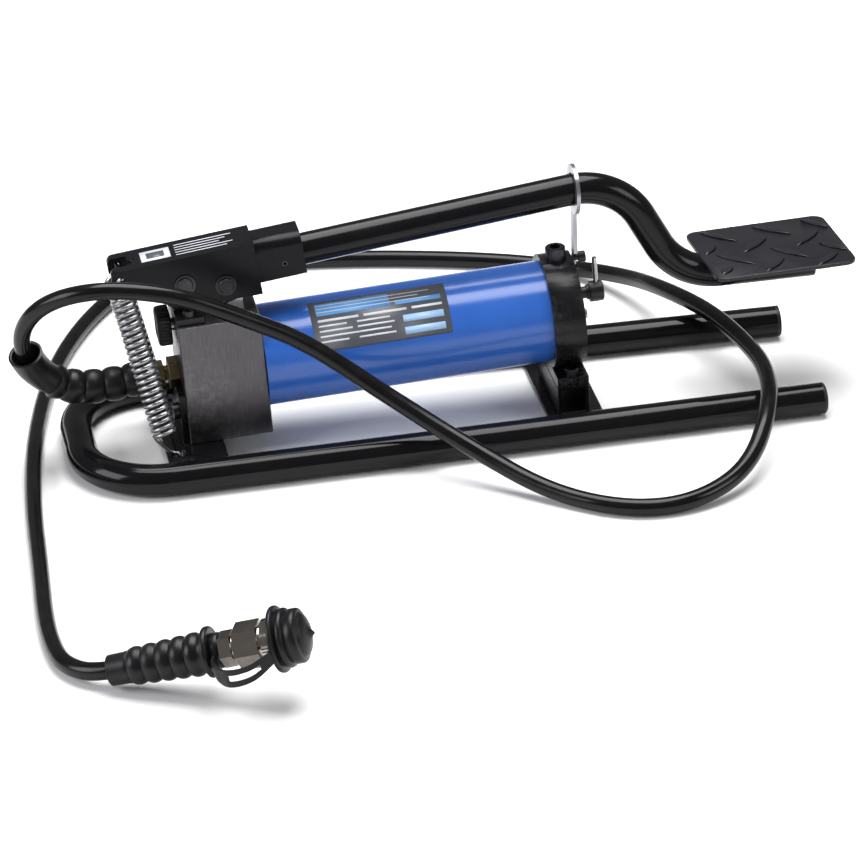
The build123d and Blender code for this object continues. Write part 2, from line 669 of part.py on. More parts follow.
# ==== Release valve =====================================================================
KNOB_U0 = -215.0
KNOB_U1 = -204.0
KNOB_R = 12.5
LOBE_R = 4.5
with BuildPart() as release_stem:
    with BuildSketch(body(BLOCK_U0 + 16, 0, RELEASE_W, "forward")):
        Circle(RELEASE_R - RUN_FIT)
    extrude(amount=KNOB_U0 - BLOCK_U0 - 12)
release_stem.part.label = "release_stem"
export_step(release_stem.part, "parts/release_stem.step")

with BuildPart() as release_knob:
    with BuildSketch(body(KNOB_U0, 0, RELEASE_W, "forward")):
        Circle(KNOB_R)
        with PolarLocations(KNOB_R - 0.5, 4, start_angle=45):
            Circle(LOBE_R)
    extrude(amount=KNOB_U1 - KNOB_U0)
    with BuildSketch(body(KNOB_U0 + 4, 0, RELEASE_W, "forward")):
        Circle(RELEASE_R - RUN_FIT)
    extrude(amount=KNOB_U1 - KNOB_U0, mode=Mode.SUBTRACT)
release_knob.part.label = "release_knob"
export_step(release_knob.part, "parts/release_knob.step")

# ==== Lever =============================================================================
PIVOT_S, PIVOT_H = lever_local(body(PIVOT_U, 0, PIVOT_W, "side").origin)
PIN_S, PIN_H = lever_local(body(PIN_U, 0, PIN_W, "side").origin)

with BuildPart() as lever_bracket:
    with BuildSketch(lever(0, 0, 0, "side")):
        with BuildLine():
            Polyline(
                (BRACKET_S0, BRACKET_TOP_H),
                (BRACKET_S1, BRACKET_TOP_H),
                (BRACKET_S1, -22.5),
                (-206.0, -19.5),
                (-236.0, 8.0),
                (BRACKET_S0, 8.0),
                close=True,
            )
        make_face()
    extrude(amount=BRACKET_HALF_Y, both=True)
    fillet(lever_bracket.edges().filter_by(Axis.Y).group_by(Axis.X)[0], 5.0)
    with BuildSketch(lever(BRACKET_S0 - 10, 0, BRACKET_TOP_H - BRACKET_T, "forward")):
        Rectangle(2 * (BRACKET_HALF_Y - BRACKET_T), 60, align=(Align.CENTER, Align.MAX))
    extrude(amount=BRACKET_S1 - BRACKET_S0 + 20, mode=Mode.SUBTRACT)
    with BuildSketch(lever(BRACKET_S0, 0, BRACKET_TOP_H + 5, "up")):
        SlotCenterToCenter(24, 2 * 8.5)
    extrude(amount=-20, mode=Mode.SUBTRACT)
    with BuildSketch(lever(0, 0, 0, "side")):
        with Locations((PIVOT_S, PIVOT_H), (PIN_S, PIN_H)):
            Circle(PIN_R)
        with Locations((SPRING_EYE_S, SPRING_EYE_H)):
            Circle(2.6)
    extrude(amount=BRACKET_HALF_Y + 1, both=True, mode=Mode.SUBTRACT)
lever_bracket.part.label = "lever_bracket"
export_step(lever_bracket.part, "parts/lever_bracket.step")

with BuildPart() as pivot_pin:
    with BuildSketch(lever(0, 0, 0, "side")):
        with Locations((PIVOT_S, PIVOT_H)):
            Circle(PIN_R)
    extrude(amount=PIN_HALF, both=True)
    chamfer(pivot_pin.edges().filter_by(GeomType.CIRCLE), 0.6)
pivot_pin.part.label = "pivot_pin"
export_step(pivot_pin.part, "parts/pivot_pin.step")

with BuildPart() as plunger_pin:
    with BuildSketch(lever(0, 0, 0, "side")):
        with Locations((PIN_S, PIN_H)):
            Circle(PIN_R)
    extrude(amount=PIN_HALF, both=True)
    chamfer(plunger_pin.edges().filter_by(GeomType.CIRCLE), 0.6)
plunger_pin.part.label = "plunger_pin"
export_step(plunger_pin.part, "parts/plunger_pin.step")

with BuildPart() as pin_retaining_rings:
    for side in (-1, 1):
        with BuildSketch(lever(0, side * (BRACKET_HALF_Y + 0.6), 0, "side")):
            with Locations((PIVOT_S, PIVOT_H), (PIN_S, PIN_H)):
                Circle(PIN_R + 2.2)
                Circle(PIN_R, mode=Mode.SUBTRACT)
        extrude(amount=0.6, both=True)
pin_retaining_rings.part.label = "pin_retaining_rings"
export_step(pin_retaining_rings.part, "parts/pin_retaining_rings.step")

LEVER_AXIS = lever(0, 0, 0, "forward").z_dir
with BuildPart() as tube_socket:
    with BuildSketch(lever(BRACKET_S1, 0, 0, "forward")):
        with Locations((0, (SOCKET_H0 + SOCKET_H1) / 2)):
            Rectangle(2 * SOCKET_HALF_Y, SOCKET_H1 - SOCKET_H0)
    extrude(amount=SOCKET_S1 - BRACKET_S1)
    socket_lines = tube_socket.edges().filter_by(Axis(lever(0, 0, 0, "forward").origin, LEVER_AXIS))
    fillet(socket_lines.group_by(Axis.Z)[-1], 9.0)
    with BuildSketch(lever(BRACKET_S1, 0, 0, "forward")):
        with Locations((0, 2.4)):
            Rectangle(2 * (BRACKET_HALF_Y - BRACKET_T), 2 * 15.6)
    extrude(amount=-8)
    with BuildSketch(lever(SOCKET_S1, 0, 0, "forward")):
        Circle(TUBE_R)
    extrude(amount=-SOCKET_DEPTH, mode=Mode.SUBTRACT)
    with BuildSketch(lever(-116.5, -SOCKET_HALF_Y, -2.0, "side")):
        Circle(2.5)
    extrude(amount=-(SOCKET_HALF_Y - TUBE_R), mode=Mode.SUBTRACT)
tube_socket.part.label = "tube_socket"
export_step(tube_socket.part, "parts/tube_socket.step")

with BuildPart() as set_screw:
    with BuildSketch(lever(-116.5, -SOCKET_HALF_Y + 0.4, -2.0, "side")):
        Circle(2.5)
        RegularPolygon(1.3, 6, mode=Mode.SUBTRACT)
    extrude(amount=-(SOCKET_HALF_Y - TUBE_R - 0.4))
set_screw.part.label = "set_screw"
export_step(set_screw.part, "parts/set_screw.step")

LEVER_START = lever(SOCKET_S1 - SOCKET_DEPTH, 0, 0, "forward").origin
with BuildPart() as lever_tube:
    with BuildLine() as lever_path:
        FilletPolyline(
            (LEVER_START.X, 0, LEVER_START.Z),
            tuple(lever(LEVER_BEND_TOP_S, 0, 0, "forward").origin),
            (LEVER_BEND_LOW[0], 0, LEVER_BEND_LOW[1]),
            (LEVER_END_X, 0, LEVER_BEND_LOW[1]),
            radius=[*LEVER_BEND_R],
        )
    with BuildSketch(Plane(origin=lever_path.line @ 0, z_dir=lever_path.line % 0)):
        Circle(TUBE_R)
        Circle(TUBE_R - TUBE_WALL, mode=Mode.SUBTRACT)
    sweep(path=lever_path.line)
lever_tube.part.label = "lever_tube"
export_step(lever_tube.part, "parts/lever_tube.step")

with BuildPart() as lever_end_plug:
    with BuildSketch(Plane.YZ.offset(LEVER_END_X)):
        with Locations((0, LEVER_BEND_LOW[1])):
            Circle(TUBE_R - TUBE_WALL)
    extrude(amount=-PLUG_SPIGOT)
lever_end_plug.part.label = "lever_end_plug"
export_step(lever_end_plug.part, "parts/lever_end_plug.step")

with BuildPart() as pedal_plate:
    with BuildSketch(Plane.XY.offset(PEDAL_Z0)):
        with Locations((PEDAL_X, 0)):
            RectangleRounded(PEDAL_LENGTH, PEDAL_WIDTH, PEDAL_CORNER_R, rotation=PEDAL_SKEW)
    extrude(amount=PEDAL_T)
pedal_plate.part.label = "pedal_plate"
export_step(pedal_plate.part, "parts/pedal_plate.step")

LINK_STEM_HALF = 5.0
LINK_NOTCH_Y = 3.2
with BuildPart() as lock_link:
    with BuildSketch(Plane(lever(LINK_S, 0, 0, "forward").origin, x_dir=(0, 1, 0), z_dir=(1, 0, 0))):
        Circle(LINK_OUTER_R)
        with Locations((1.5, LINK_FOOT_H)):
            Rectangle(2 * LINK_STEM_HALF, -LINK_FOOT_H, align=(Align.CENTER, Align.MIN))
        Circle(LINK_INNER_R, mode=Mode.SUBTRACT)
        with Locations((LINK_NOTCH_Y, LINK_FOOT_H)):
            Rectangle(20, 12, align=(Align.MAX, Align.MIN), mode=Mode.SUBTRACT)
    extrude(amount=LINK_T / 2, both=True)
lock_link.part.label = "lock_link"
export_step(lock_link.part, "parts/lock_link.step")

# ==== Return springs ====================================================================
for spring_name, side in (("spring_near", -1), ("spring_far", 1)):
    top = Vector(SPRING_TOP[0], side * SPRING_TOP[1], SPRING_TOP[2])
    foot = Vector(SPRING_FOOT[0], side * SPRING_FOOT[1], SPRING_FOOT[2])
    spring_axis = (top - foot).normalized()
    with BuildPart() as spring:
        with BuildSketch(Plane(origin=foot, z_dir=spring_axis)):
            Circle(SPRING_R)
            Circle(SPRING_R - SPRING_WIRE, mode=Mode.SUBTRACT)
        extrude(amount=(top - foot).length - SPRING_HOOK)
    spring.part.label = spring_name
    export_step(spring.part, f"parts/{spring_name}.step")

# ==== Outlet and hose ===================================================================
with BuildPart() as outlet_adaptor:
    with BuildSketch(body(BLOCK_U0, 0, OUTLET_W, "forward")):
        RegularPolygon(11, 6, major_radius=False)
    extrude(amount=-8.5)
    with BuildSketch(body(BLOCK_U0, 0, OUTLET_W, "forward")):
        Circle(6.0)
    extrude(amount=12)
    with BuildSketch(body(BLOCK_U0, 0, OUTLET_W, "forward")):
        Circle(6.0)
    extrude(amount=-12)
    with BuildSketch(body(BLOCK_U0 - 20, 0, OUTLET_W, "forward")):
        Circle(2.5)
    extrude(amount=40, mode=Mode.SUBTRACT)
outlet_adaptor.part.label = "outlet_adaptor"
export_step(outlet_adaptor.part, "parts/outlet_adaptor.step")

with BuildPart() as swivel_nut:
    with BuildSketch(body(BLOCK_U0 - 12, 0, OUTLET_W, "forward")):
        RegularPolygon(9.5, 6, major_radius=False)
        Circle(2.5, mode=Mode.SUBTRACT)
    extrude(amount=-8)
swivel_nut.part.label = "swivel_nut"
export_step(swivel_nut.part, "parts/swivel_nut.step")

with BuildPart() as pump_end_ferrule:
    with BuildSketch(body(BLOCK_U0 - 20, 0, OUTLET_W, "forward")):
        Circle(8.5)
        Circle(2.5, mode=Mode.SUBTRACT)
    extrude(amount=OUTLET_FACE_U - (BLOCK_U0 - 20))
pump_end_ferrule.part.label = "pump_end_ferrule"
export_step(pump_end_ferrule.part, "parts/pump_end_ferrule.step")

coupler_axis = coupler(0).z_dir
hose_corner = coupler(-12).origin
hose_finish = coupler(HOSE_END).origin
outlet_face = body(OUTLET_FACE_U, 0, OUTLET_W, "forward")
route = [tuple(outlet_face.origin), *HOSE_ROUTE, tuple(hose_corner), tuple(hose_finish)]
radii = arc_radii(route)
print("hose arc radii", [round(r) for r in radii])

with BuildPart() as hose:
    with BuildLine() as hose_path:
        FilletPolyline(*route, radius=radii)
    with BuildSketch(Plane(origin=hose_path.line @ 0, z_dir=hose_path.line % 0)):
        Circle(HOSE_R)
    sweep(path=hose_path.line)
hose_length = sum(edge.length for edge in hose_path.line.edges())
print("hose length", round(hose_length))
print("volume against length", round(hose.part.volume / (hose_length * HOSE_R**2 * pi), 4))
hose.part.label = "hose"
export_step(hose.part, "parts/hose.step")

BOOT_END = tuple((a + b) / 2 for a, b in zip(route[2], route[3]))
with BuildPart() as pump_end_boot:
    with BuildLine() as boot_path:
        FilletPolyline(route[0], route[1], route[2], BOOT_END, radius=radii[:2])
    with BuildSketch(Plane(origin=boot_path.line @ 0, z_dir=boot_path.line % 0)):
        Circle(BOOT_R)
        Circle(BOOT_BORE, mode=Mode.SUBTRACT)
    sweep(path=boot_path.line)
pump_end_boot.part.label = "pump_end_boot"
export_step(pump_end_boot.part, "parts/pump_end_boot.step")

coupler_start = coupler(0)
coupler_line = Axis(coupler_start.origin, coupler_start.z_dir)
coupler_side = Plane(
    origin=coupler_start.origin, x_dir=coupler_start.z_dir, z_dir=coupler_start.x_dir
)

with BuildPart() as far_end_boot:
    with BuildSketch(coupler_side):
        with BuildLine():
            Polyline(*FAR_BOOT, close=True)
        make_face()
    revolve(axis=coupler_line)
far_end_boot.part.label = "far_end_boot"
export_step(far_end_boot.part, "parts/far_end_boot.step")

with BuildPart() as far_end_ferrule:
    with BuildSketch(coupler(HOSE_END)):
        Circle(9.5)
    extrude(amount=FERRULE_END - HOSE_END)
far_end_ferrule.part.label = "far_end_ferrule"
export_step(far_end_ferrule.part, "parts/far_end_ferrule.step")

with BuildPart() as hose_adaptor:
    with BuildSketch(coupler(FERRULE_END)):
        RegularPolygon(11.5, 6, major_radius=False)
    extrude(amount=9)
    with BuildSketch(coupler(FERRULE_END + 9)):
        Circle(9.0)
    extrude(amount=3)
hose_adaptor.part.label = "hose_adaptor"
export_step(hose_adaptor.part, "parts/hose_adaptor.step")

with BuildPart() as coupler_body:
    with BuildSketch(coupler(98)):
        RegularPolygon(15, 6, major_radius=False)
    extrude(amount=18)
    with BuildSketch(coupler(116)):
        Circle(12.5)
    extrude(amount=26)
coupler_body.part.label = "coupler_body"
export_step(coupler_body.part, "parts/coupler_body.step")

with BuildPart() as coupler_collar:
    with BuildSketch(coupler(119)):
        Circle(16.5)
        Circle(12.55, mode=Mode.SUBTRACT)
    extrude(amount=22)
coupler_collar.part.label = "coupler_collar"
export_step(coupler_collar.part, "parts/coupler_collar.step")

with BuildPart() as dust_cap:
    with BuildSketch(coupler_side):
        with BuildLine():
            Polyline(*CAP, close=True)
        make_face()
    revolve(axis=coupler_line)
dust_cap.part.label = "dust_cap"
export_step(dust_cap.part, "parts/dust_cap.step")

coupler_flat = Plane(
    origin=coupler_start.origin,
    x_dir=coupler_start.z_dir,
    z_dir=coupler_start.z_dir.cross(Vector(0, 0, 1)).cross(coupler_start.z_dir),
)
with BuildPart() as cap_strap:
    with BuildSketch(coupler(79.2)):
        Circle(13.0)
        Circle(9.6, mode=Mode.SUBTRACT)
    extrude(amount=6.6)
    with BuildLine(coupler_flat) as strap_path:
        FilletPolyline(*STRAP_ROUTE, radius=STRAP_BEND_R)
    strap_start = Plane(
        origin=strap_path.line @ 0,
        x_dir=coupler_flat.z_dir,
        z_dir=strap_path.line % 0,
    )
    with BuildSketch(strap_start):
        Rectangle(STRAP_WIDTH, STRAP_T)
    sweep(path=strap_path.line)
cap_strap.part.label = "cap_strap"
export_step(cap_strap.part, "parts/cap_strap.step")
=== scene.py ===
"""Foot-operated hydraulic pump: finishes, hose, springs and fittings over its solid frame."""

import math

import bmesh
import bpy
from bpy.props import FloatProperty, FloatVectorProperty, IntProperty, PointerProperty
from mathutils import Matrix, Vector


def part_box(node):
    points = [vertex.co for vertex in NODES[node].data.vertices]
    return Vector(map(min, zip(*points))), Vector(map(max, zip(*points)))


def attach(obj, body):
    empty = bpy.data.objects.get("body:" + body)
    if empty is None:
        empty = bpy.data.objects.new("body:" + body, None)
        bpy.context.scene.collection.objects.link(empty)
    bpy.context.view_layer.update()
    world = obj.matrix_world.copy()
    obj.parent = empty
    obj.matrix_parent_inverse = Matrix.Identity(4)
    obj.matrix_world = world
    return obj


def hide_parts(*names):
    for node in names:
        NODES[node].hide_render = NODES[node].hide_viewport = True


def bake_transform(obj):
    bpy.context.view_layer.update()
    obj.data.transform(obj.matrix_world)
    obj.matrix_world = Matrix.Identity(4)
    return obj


bl_info = {
    "name": "Foot Pump Builder",
    "version": (1, 0, 0),
    "blender": (4, 5, 0),
    "location": "View3D > Sidebar > Foot Pump",
    "description": "Builds the finishes, hose, springs and fittings of a foot-operated pump",
    "category": "Object",
}

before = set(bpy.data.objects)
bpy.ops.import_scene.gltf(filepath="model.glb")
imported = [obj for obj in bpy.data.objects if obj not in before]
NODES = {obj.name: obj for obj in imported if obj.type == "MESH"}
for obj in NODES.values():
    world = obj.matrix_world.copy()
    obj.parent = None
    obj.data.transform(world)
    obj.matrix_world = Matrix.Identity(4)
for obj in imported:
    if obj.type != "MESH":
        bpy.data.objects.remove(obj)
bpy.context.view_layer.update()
MM = 0.001


# ---- Places ----


def basis(origin, forward, up):
    """Matrix from millimetres along, across and above an axis to metres in the row frame."""
    x = Vector(forward).normalized()
    z = (Vector(up) - x * Vector(up).dot(x)).normalized()
    y = z.cross(x)
    m = Matrix((x * MM, y * MM, z * MM)).transposed().to_4x4()
    m.translation = Vector(origin) * MM
    return m


def pitched(origin, angle):
    """Basis of an axis that lies in the middle plane, nose up by an angle in degrees."""
    a = math.radians(angle)
    return basis(origin, (math.cos(a), 0, math.sin(a)), (0, 0, 1))


BODY = pitched((-16, 0, 76.1), 2.67)
LEVER = pitched((-16, 0, 168.3), 6.78)
COUPLER = basis((-318, -362, 13.5), (0.90767, -0.33037, 0.25882), (0, 0, 1))

HOSE_POINTS = [
    (-0.2416, 0.0, 0.0626), (-0.288, 0.0, 0.0545), (-0.327, -0.003, 0.074),
    (-0.342, -0.018, 0.115), (-0.325, -0.04, 0.152), (-0.284, -0.061, 0.17),
    (-0.227, -0.062, 0.16), (-0.176, -0.057, 0.133), (-0.123, -0.057, 0.104),
    (-0.071, -0.074, 0.064), (-0.011, -0.113, 0.028), (0.042, -0.164, 0.007),
    (0.094, -0.206, 0.007), (0.146, -0.207, 0.007), (0.196, -0.177, 0.015),
    (0.227, -0.121, 0.038), (0.239, -0.06, 0.0395), (0.234, 0.0, 0.037),
    (0.219, 0.052, 0.0395), (0.194, 0.104, 0.038), (0.181, 0.166, 0.021),
    (0.15, 0.223, 0.007), (0.074, 0.262, 0.007), (-0.038, 0.295, 0.007),
    (-0.147, 0.309, 0.007), (-0.227, 0.287, 0.007), (-0.273, 0.219, 0.007),
    (-0.308, 0.132, 0.007), (-0.333, 0.02, 0.007), (-0.345, -0.087, 0.007),
    (-0.35, -0.19, 0.007), (-0.355, -0.27, 0.007), (-0.3526, -0.3177, 0.007),
    (-0.3452, -0.3405, 0.008), (-0.3289, -0.358, 0.0104), (-0.3071, -0.366, 0.0166),
]


# ---- Mesh tools ----


def publish(name, bm, material, sharp=35.0):
    """Turn a bmesh into an object with smooth faces and sharp corners above an angle."""
    bmesh.ops.recalc_face_normals(bm, faces=bm.faces)
    limit = math.radians(sharp)
    for face in bm.faces:
        face.smooth = True
    for edge in bm.edges:
        if len(edge.link_faces) == 2 and edge.calc_face_angle(0.0) > limit:
            edge.smooth = False
    mesh = bpy.data.meshes.new(name)
    bm.to_mesh(mesh)
    bm.free()
    mesh.materials.append(material)
    piece = bpy.data.objects.new(name, mesh)
    bpy.context.scene.collection.objects.link(piece)
    return piece


def add_loft(bm, rings, closed=False):
    """Skin a list of rings of points; the last joins the first when closed, or both are capped."""
    made = [[bm.verts.new(p) for p in ring] for ring in rings]
    pairs = list(zip(made, made[1:]))
    if closed:
        pairs.append((made[-1], made[0]))
    for first, second in pairs:
        count = len(first)
        for i in range(count):
            j = (i + 1) % count
            bm.faces.new((first[i], first[j], second[j], second[i]))
    if not closed:
        bm.faces.new(list(reversed(made[0])))
        bm.faces.new(made[-1])


def circle_ring(centre, x, y, radius, count):
    """Points of a circle about centre, in the plane of x and y."""
    turn = 2 * math.pi / count
    return [
        centre + x * math.cos(turn * i) * radius + y * math.sin(turn * i) * radius
        for i in range(count)
    ]


def turned(place, profile, count):
    """Rings of a turned shape from (distance, radius) pairs along a basis's first axis."""
    x, y, z = (place.col[i].to_3d() for i in range(3))
    rings = []
    for distance, radius in profile:
        centre = place.translation + x * distance
        ring = []
        for i in range(count):
            angle = 2 * math.pi * i / count
            reach = max(radius, 0.01)
            ring.append(centre + y * math.cos(angle) * reach + z * math.sin(angle) * reach)
        rings.append(ring)
    return rings


def carried_frames(points):
    """Directions and steady side vectors along a line of points."""
    frames = []
    side = None
    for i, point in enumerate(points):
        ahead = points[min(i + 1, len(points) - 1)]
        behind = points[max(i - 1, 0)]
        along = (ahead - behind).normalized()
        if side is None:
            side = along.cross(Vector((0, 0, 1)))
            if side.length < 0.1:
                side = along.cross(Vector((0, 1, 0)))
        side = (side - along * side.dot(along)).normalized()
        frames.append((point, along, side, along.cross(side)))
    return frames


def tube_rings(points, radius_at, count):
    """Rings round a line of points; radius_at takes the distance run, in millimetres."""
    rings = []
    run = 0.0
    last = points[0]
    for point, _, side, other in carried_frames(points):
        run += (point - last).length / MM
        last = point
        rings.append(circle_ring(point, side, other, radius_at(run) * MM, count))
    return rings


def smooth_line(corners, steps):
    """Points of a Catmull-Rom line through the corners."""
    padded = [corners[0] * 2 - corners[1], *corners, corners[-1] * 2 - corners[-2]]
    points = []
    for a, b, c, d in zip(padded, padded[1:], padded[2:], padded[3:]):
        for i in range(steps):
            t = i / steps
            points.append(
                0.5
                * (
                    2 * b
                    + (c - a) * t
                    + (2 * a - 5 * b + 4 * c - d) * t * t
                    + (3 * b - a - 3 * c + d) * t * t * t
                )
            )
    points.append(corners[-1])
    return points


def soften(piece, width):
    """Round the hard corners of a piece by a width in millimetres."""
    merge = piece.modifiers.new("Weld", "WELD")
    merge.merge_threshold = 0.00001
    bevel = piece.modifiers.new("Soft corners", "BEVEL")
    bevel.width = width * MM
    bevel.segments = 2
    bevel.limit_method = "ANGLE"
    bevel.angle_limit = math.radians(32)
    bevel.harden_normals = True


def rounded_outline(half_x, half_y, radius, steps=8):
    """Outline of a rectangle with round corners, about its centre."""
    outline = []
    for sx, sy, start in ((1, 1, 0), (-1, 1, 90), (-1, -1, 180), (1, -1, 270)):
        for i in range(steps + 1):
            a = math.radians(start + 90 * i / steps)
            x = sx * (half_x - radius) + radius * math.cos(a)
            y = sy * (half_y - radius) + radius * math.sin(a)
            outline.append((x, y))
    return outline


def plate_rings(place, outline, low, high, bevel):
    """Rings of a flat plate with softened edges; the outline lies across the third axis."""
    cx = sum(p[0] for p in outline) / len(outline)
    cy = sum(p[1] for p in outline) / len(outline)
    rings = []
    steps = (
        (low, bevel), (low + bevel, 0),
        (high - bevel, 0), (high - bevel * 0.3, bevel * 0.3), (high, bevel),
    )
    for height, inset in steps:
        ring = []
        for x, y in outline:
            reach = math.hypot(x - cx, y - cy)
            keep = (reach - inset) / reach
            point = Vector((cx + (x - cx) * keep, cy + (y - cy) * keep, height))
            ring.append(place @ point)
        rings.append(ring)
    return rings


# ---- Shader groups ----


def new_group(name, inputs, outputs):
    """An empty shader node group: inputs by name with their defaults, and outputs by name."""
    group = bpy.data.node_groups.new(name, "ShaderNodeTree")
    kind = "NodeSocketFloat"
    for label, default in inputs.items():
        socket = group.interface.new_socket(label, in_out="INPUT", socket_type=kind)
        socket.default_value = default
    for label in outputs:
        group.interface.new_socket(label, in_out="OUTPUT", socket_type=kind)
    return group, group.nodes.new("NodeGroupInput"), group.nodes.new("NodeGroupOutput")


def node(tree, kind, **settings):
    """Add a node and set its properties."""
    made = tree.nodes.new(kind)
    for key, value in settings.items():
        setattr(made, key, value)
    return made


def feed(tree, target, value):
    """Set a socket to a number, or link another socket to it."""
    if isinstance(value, (int, float)):
        target.default_value = value
    else:
        tree.links.new(value, target)


def object_coords(tree):
    """Coordinates that stay on the piece as it moves."""
    return node(tree, "ShaderNodeTexCoord").outputs["Object"]


def noise(tree, coords, scale, detail=4.0, roughness=0.6, stretch=None):
    """Noise over object coordinates, stretched if asked; scale is a socket or a number."""
    source = coords
    if stretch:
        mapping = node(tree, "ShaderNodeMapping")
        mapping.inputs["Scale"].default_value = stretch
        tree.links.new(coords, mapping.inputs["Vector"])
        source = mapping.outputs["Vector"]
    made = node(tree, "ShaderNodeTexNoise")
    tree.links.new(source, made.inputs["Vector"])
    feed(tree, made.inputs["Scale"], scale)
    made.inputs["Detail"].default_value = detail
    made.inputs["Roughness"].default_value = roughness
    return made.outputs["Fac"]


def ramp(tree, value, low, high):
    """Map a value from low..high to 0..1, clamped."""
    made = node(tree, "ShaderNodeMapRange", interpolation_type="SMOOTHSTEP")
    tree.links.new(value, made.inputs["Value"])
    feed(tree, made.inputs["From Min"], low)
    feed(tree, made.inputs["From Max"], high)
    return made.outputs["Result"]


def math_node(tree, operation, a, b):
    """A math node of two sockets or numbers."""
    made = node(tree, "ShaderNodeMath", operation=operation)
    feed(tree, made.inputs[0], a)
    feed(tree, made.inputs[1], b)
    return made.outputs[0]


def build_groups():
    """The shader effects that several finishes share."""
    groups = {}

    group, source, result = new_group(
        "Paint texture", {"Scale": 900.0, "Cloud Scale": 22.0}, ["Height", "Cloud"]
    )
    coords = object_coords(group)
    grain = noise(group, coords, source.outputs["Scale"], 2.0, 0.5)
    group.links.new(grain, result.inputs["Height"])
    cloud = noise(group, coords, source.outputs["Cloud Scale"], 5.0, 0.65)
    group.links.new(ramp(group, cloud, 0.3, 0.7), result.inputs["Cloud"])
    groups["paint"] = group

    group, source, result = new_group(
        "Fine scratches", {"Scale": 60.0, "Amount": 0.5}, ["Mask", "Height"]
    )
    coords = object_coords(group)
    long_way = noise(group, coords, source.outputs["Scale"], 3.0, 0.7, (1.0, 14.0, 26.0))
    cross_way = noise(group, coords, source.outputs["Scale"], 3.0, 0.7, (22.0, 16.0, 1.3))
    patches = noise(group, coords, 35.0, 3.0, 0.6)
    lines = math_node(
        group, "MAXIMUM", ramp(group, long_way, 0.62, 0.74), ramp(group, cross_way, 0.64, 0.76)
    )
    broken = math_node(group, "MULTIPLY", lines, ramp(group, patches, 0.42, 0.62))
    mask = math_node(group, "MULTIPLY", broken, source.outputs["Amount"])
    group.links.new(mask, result.inputs["Mask"])
    group.links.new(math_node(group, "ADD", long_way, cross_way), result.inputs["Height"])
    groups["scratches"] = group

    group, source, result = new_group("Specks", {"Scale": 420.0, "Coverage": 0.08}, ["Mask"])
    coords = object_coords(group)
    grain = noise(group, coords, source.outputs["Scale"], 2.0, 0.8)
    start = math_node(group, "SUBTRACT", 0.78, source.outputs["Coverage"])
    end = math_node(group, "ADD", start, 0.05)
    group.links.new(ramp(group, grain, start, end), result.inputs["Mask"])
    groups["specks"] = group

    group, source, result = new_group("Edge wear", {"Amount": 0.6, "Breakup": 260.0}, ["Mask"])
    coords = object_coords(group)
    edge = ramp(group, node(group, "ShaderNodeNewGeometry").outputs["Pointiness"], 0.57, 0.66)
    patches = ramp(group, noise(group, coords, source.outputs["Breakup"], 4.0, 0.7), 0.42, 0.66)
    worn = math_node(group, "MULTIPLY", edge, patches)
    mask = math_node(group, "MULTIPLY", worn, source.outputs["Amount"])
    group.links.new(mask, result.inputs["Mask"])
    groups["wear"] = group

    group, source, result = new_group("Settled dust", {"Amount": 0.3, "Scale": 55.0}, ["Mask"])
    coords = object_coords(group)
    split = node(group, "ShaderNodeSeparateXYZ")
    group.links.new(node(group, "ShaderNodeNewGeometry").outputs["Normal"], split.inputs[0])
    upward = ramp(group, split.outputs["Z"], 0.1, 1.0)
    patches = ramp(group, noise(group, coords, source.outputs["Scale"], 6.0, 0.75), 0.35, 0.8)
    settled = math_node(group, "MULTIPLY", upward, patches)
    mask = math_node(group, "MULTIPLY", settled, source.outputs["Amount"])
    group.links.new(mask, result.inputs["Mask"])
    groups["dust"] = group
    return groups


def shade(colour, share, extra=0.0):
    """A colour made lighter or darker by a share, kept within range."""
    return tuple(min(1.0, c * share + extra) for c in colour)


class Finish:
    """A material under construction: a Principled shader with a colour and roughness chain."""

    def __init__(self, name, groups, colour, roughness, metallic=0.0, **plain):
        self.groups = groups
        self.material = bpy.data.materials.new(name)
        self.material.use_nodes = True
        self.tree = self.material.node_tree
        self.shader = self.tree.nodes["Principled BSDF"]
        self.shader.inputs["Base Color"].default_value = (*colour, 1.0)
        self.shader.inputs["Roughness"].default_value = roughness
        self.shader.inputs["Metallic"].default_value = metallic
        for label, value in plain.items():
            self.shader.inputs[label.replace("_", " ")].default_value = value
        self.colour = None
        self.base = (*colour, 1.0)
        self.rough = roughness
        self.height = None

    def place(self, key, **values):
        """Put a shared group in this material with its own values."""
        made = node(self.tree, "ShaderNodeGroup", node_tree=self.groups[key])
        made.label = self.groups[key].name
        for label, value in values.items():
            made.inputs[label.replace("_", " ")].default_value = value
        return made.outputs

    def tint(self, mask, colour, strength=1.0):
        """Mix a colour in where a mask is."""
        mix = node(self.tree, "ShaderNodeMix", data_type="RGBA")
        if self.colour is None:
            mix.inputs["A"].default_value = self.base
        else:
            self.tree.links.new(self.colour, mix.inputs["A"])
        mix.inputs["B"].default_value = (*colour, 1.0)
        factor = mask if strength == 1.0 else math_node(self.tree, "MULTIPLY", mask, strength)
        self.tree.links.new(factor, mix.inputs["Factor"])
        self.colour = mix.outputs["Result"]
        self.tree.links.new(self.colour, self.shader.inputs["Base Color"])

    def roughen(self, mask, amount):
        """Add to the roughness where a mask is."""
        change = math_node(self.tree, "MULTIPLY", mask, amount)
        self.rough = math_node(self.tree, "ADD", self.rough, change)
        self.tree.links.new(self.rough, self.shader.inputs["Roughness"])

    def relief(self, height, strength, distance=0.0002):
        """Raise the surface by a height, on top of the relief so far."""
        bump = node(self.tree, "ShaderNodeBump")
        bump.inputs["Strength"].default_value = strength
        bump.inputs["Distance"].default_value = distance
        self.tree.links.new(height, bump.inputs["Height"])
        if self.height is not None:
            self.tree.links.new(self.height, bump.inputs["Normal"])
        self.height = bump.outputs["Normal"]
        self.tree.links.new(self.height, self.shader.inputs["Normal"])


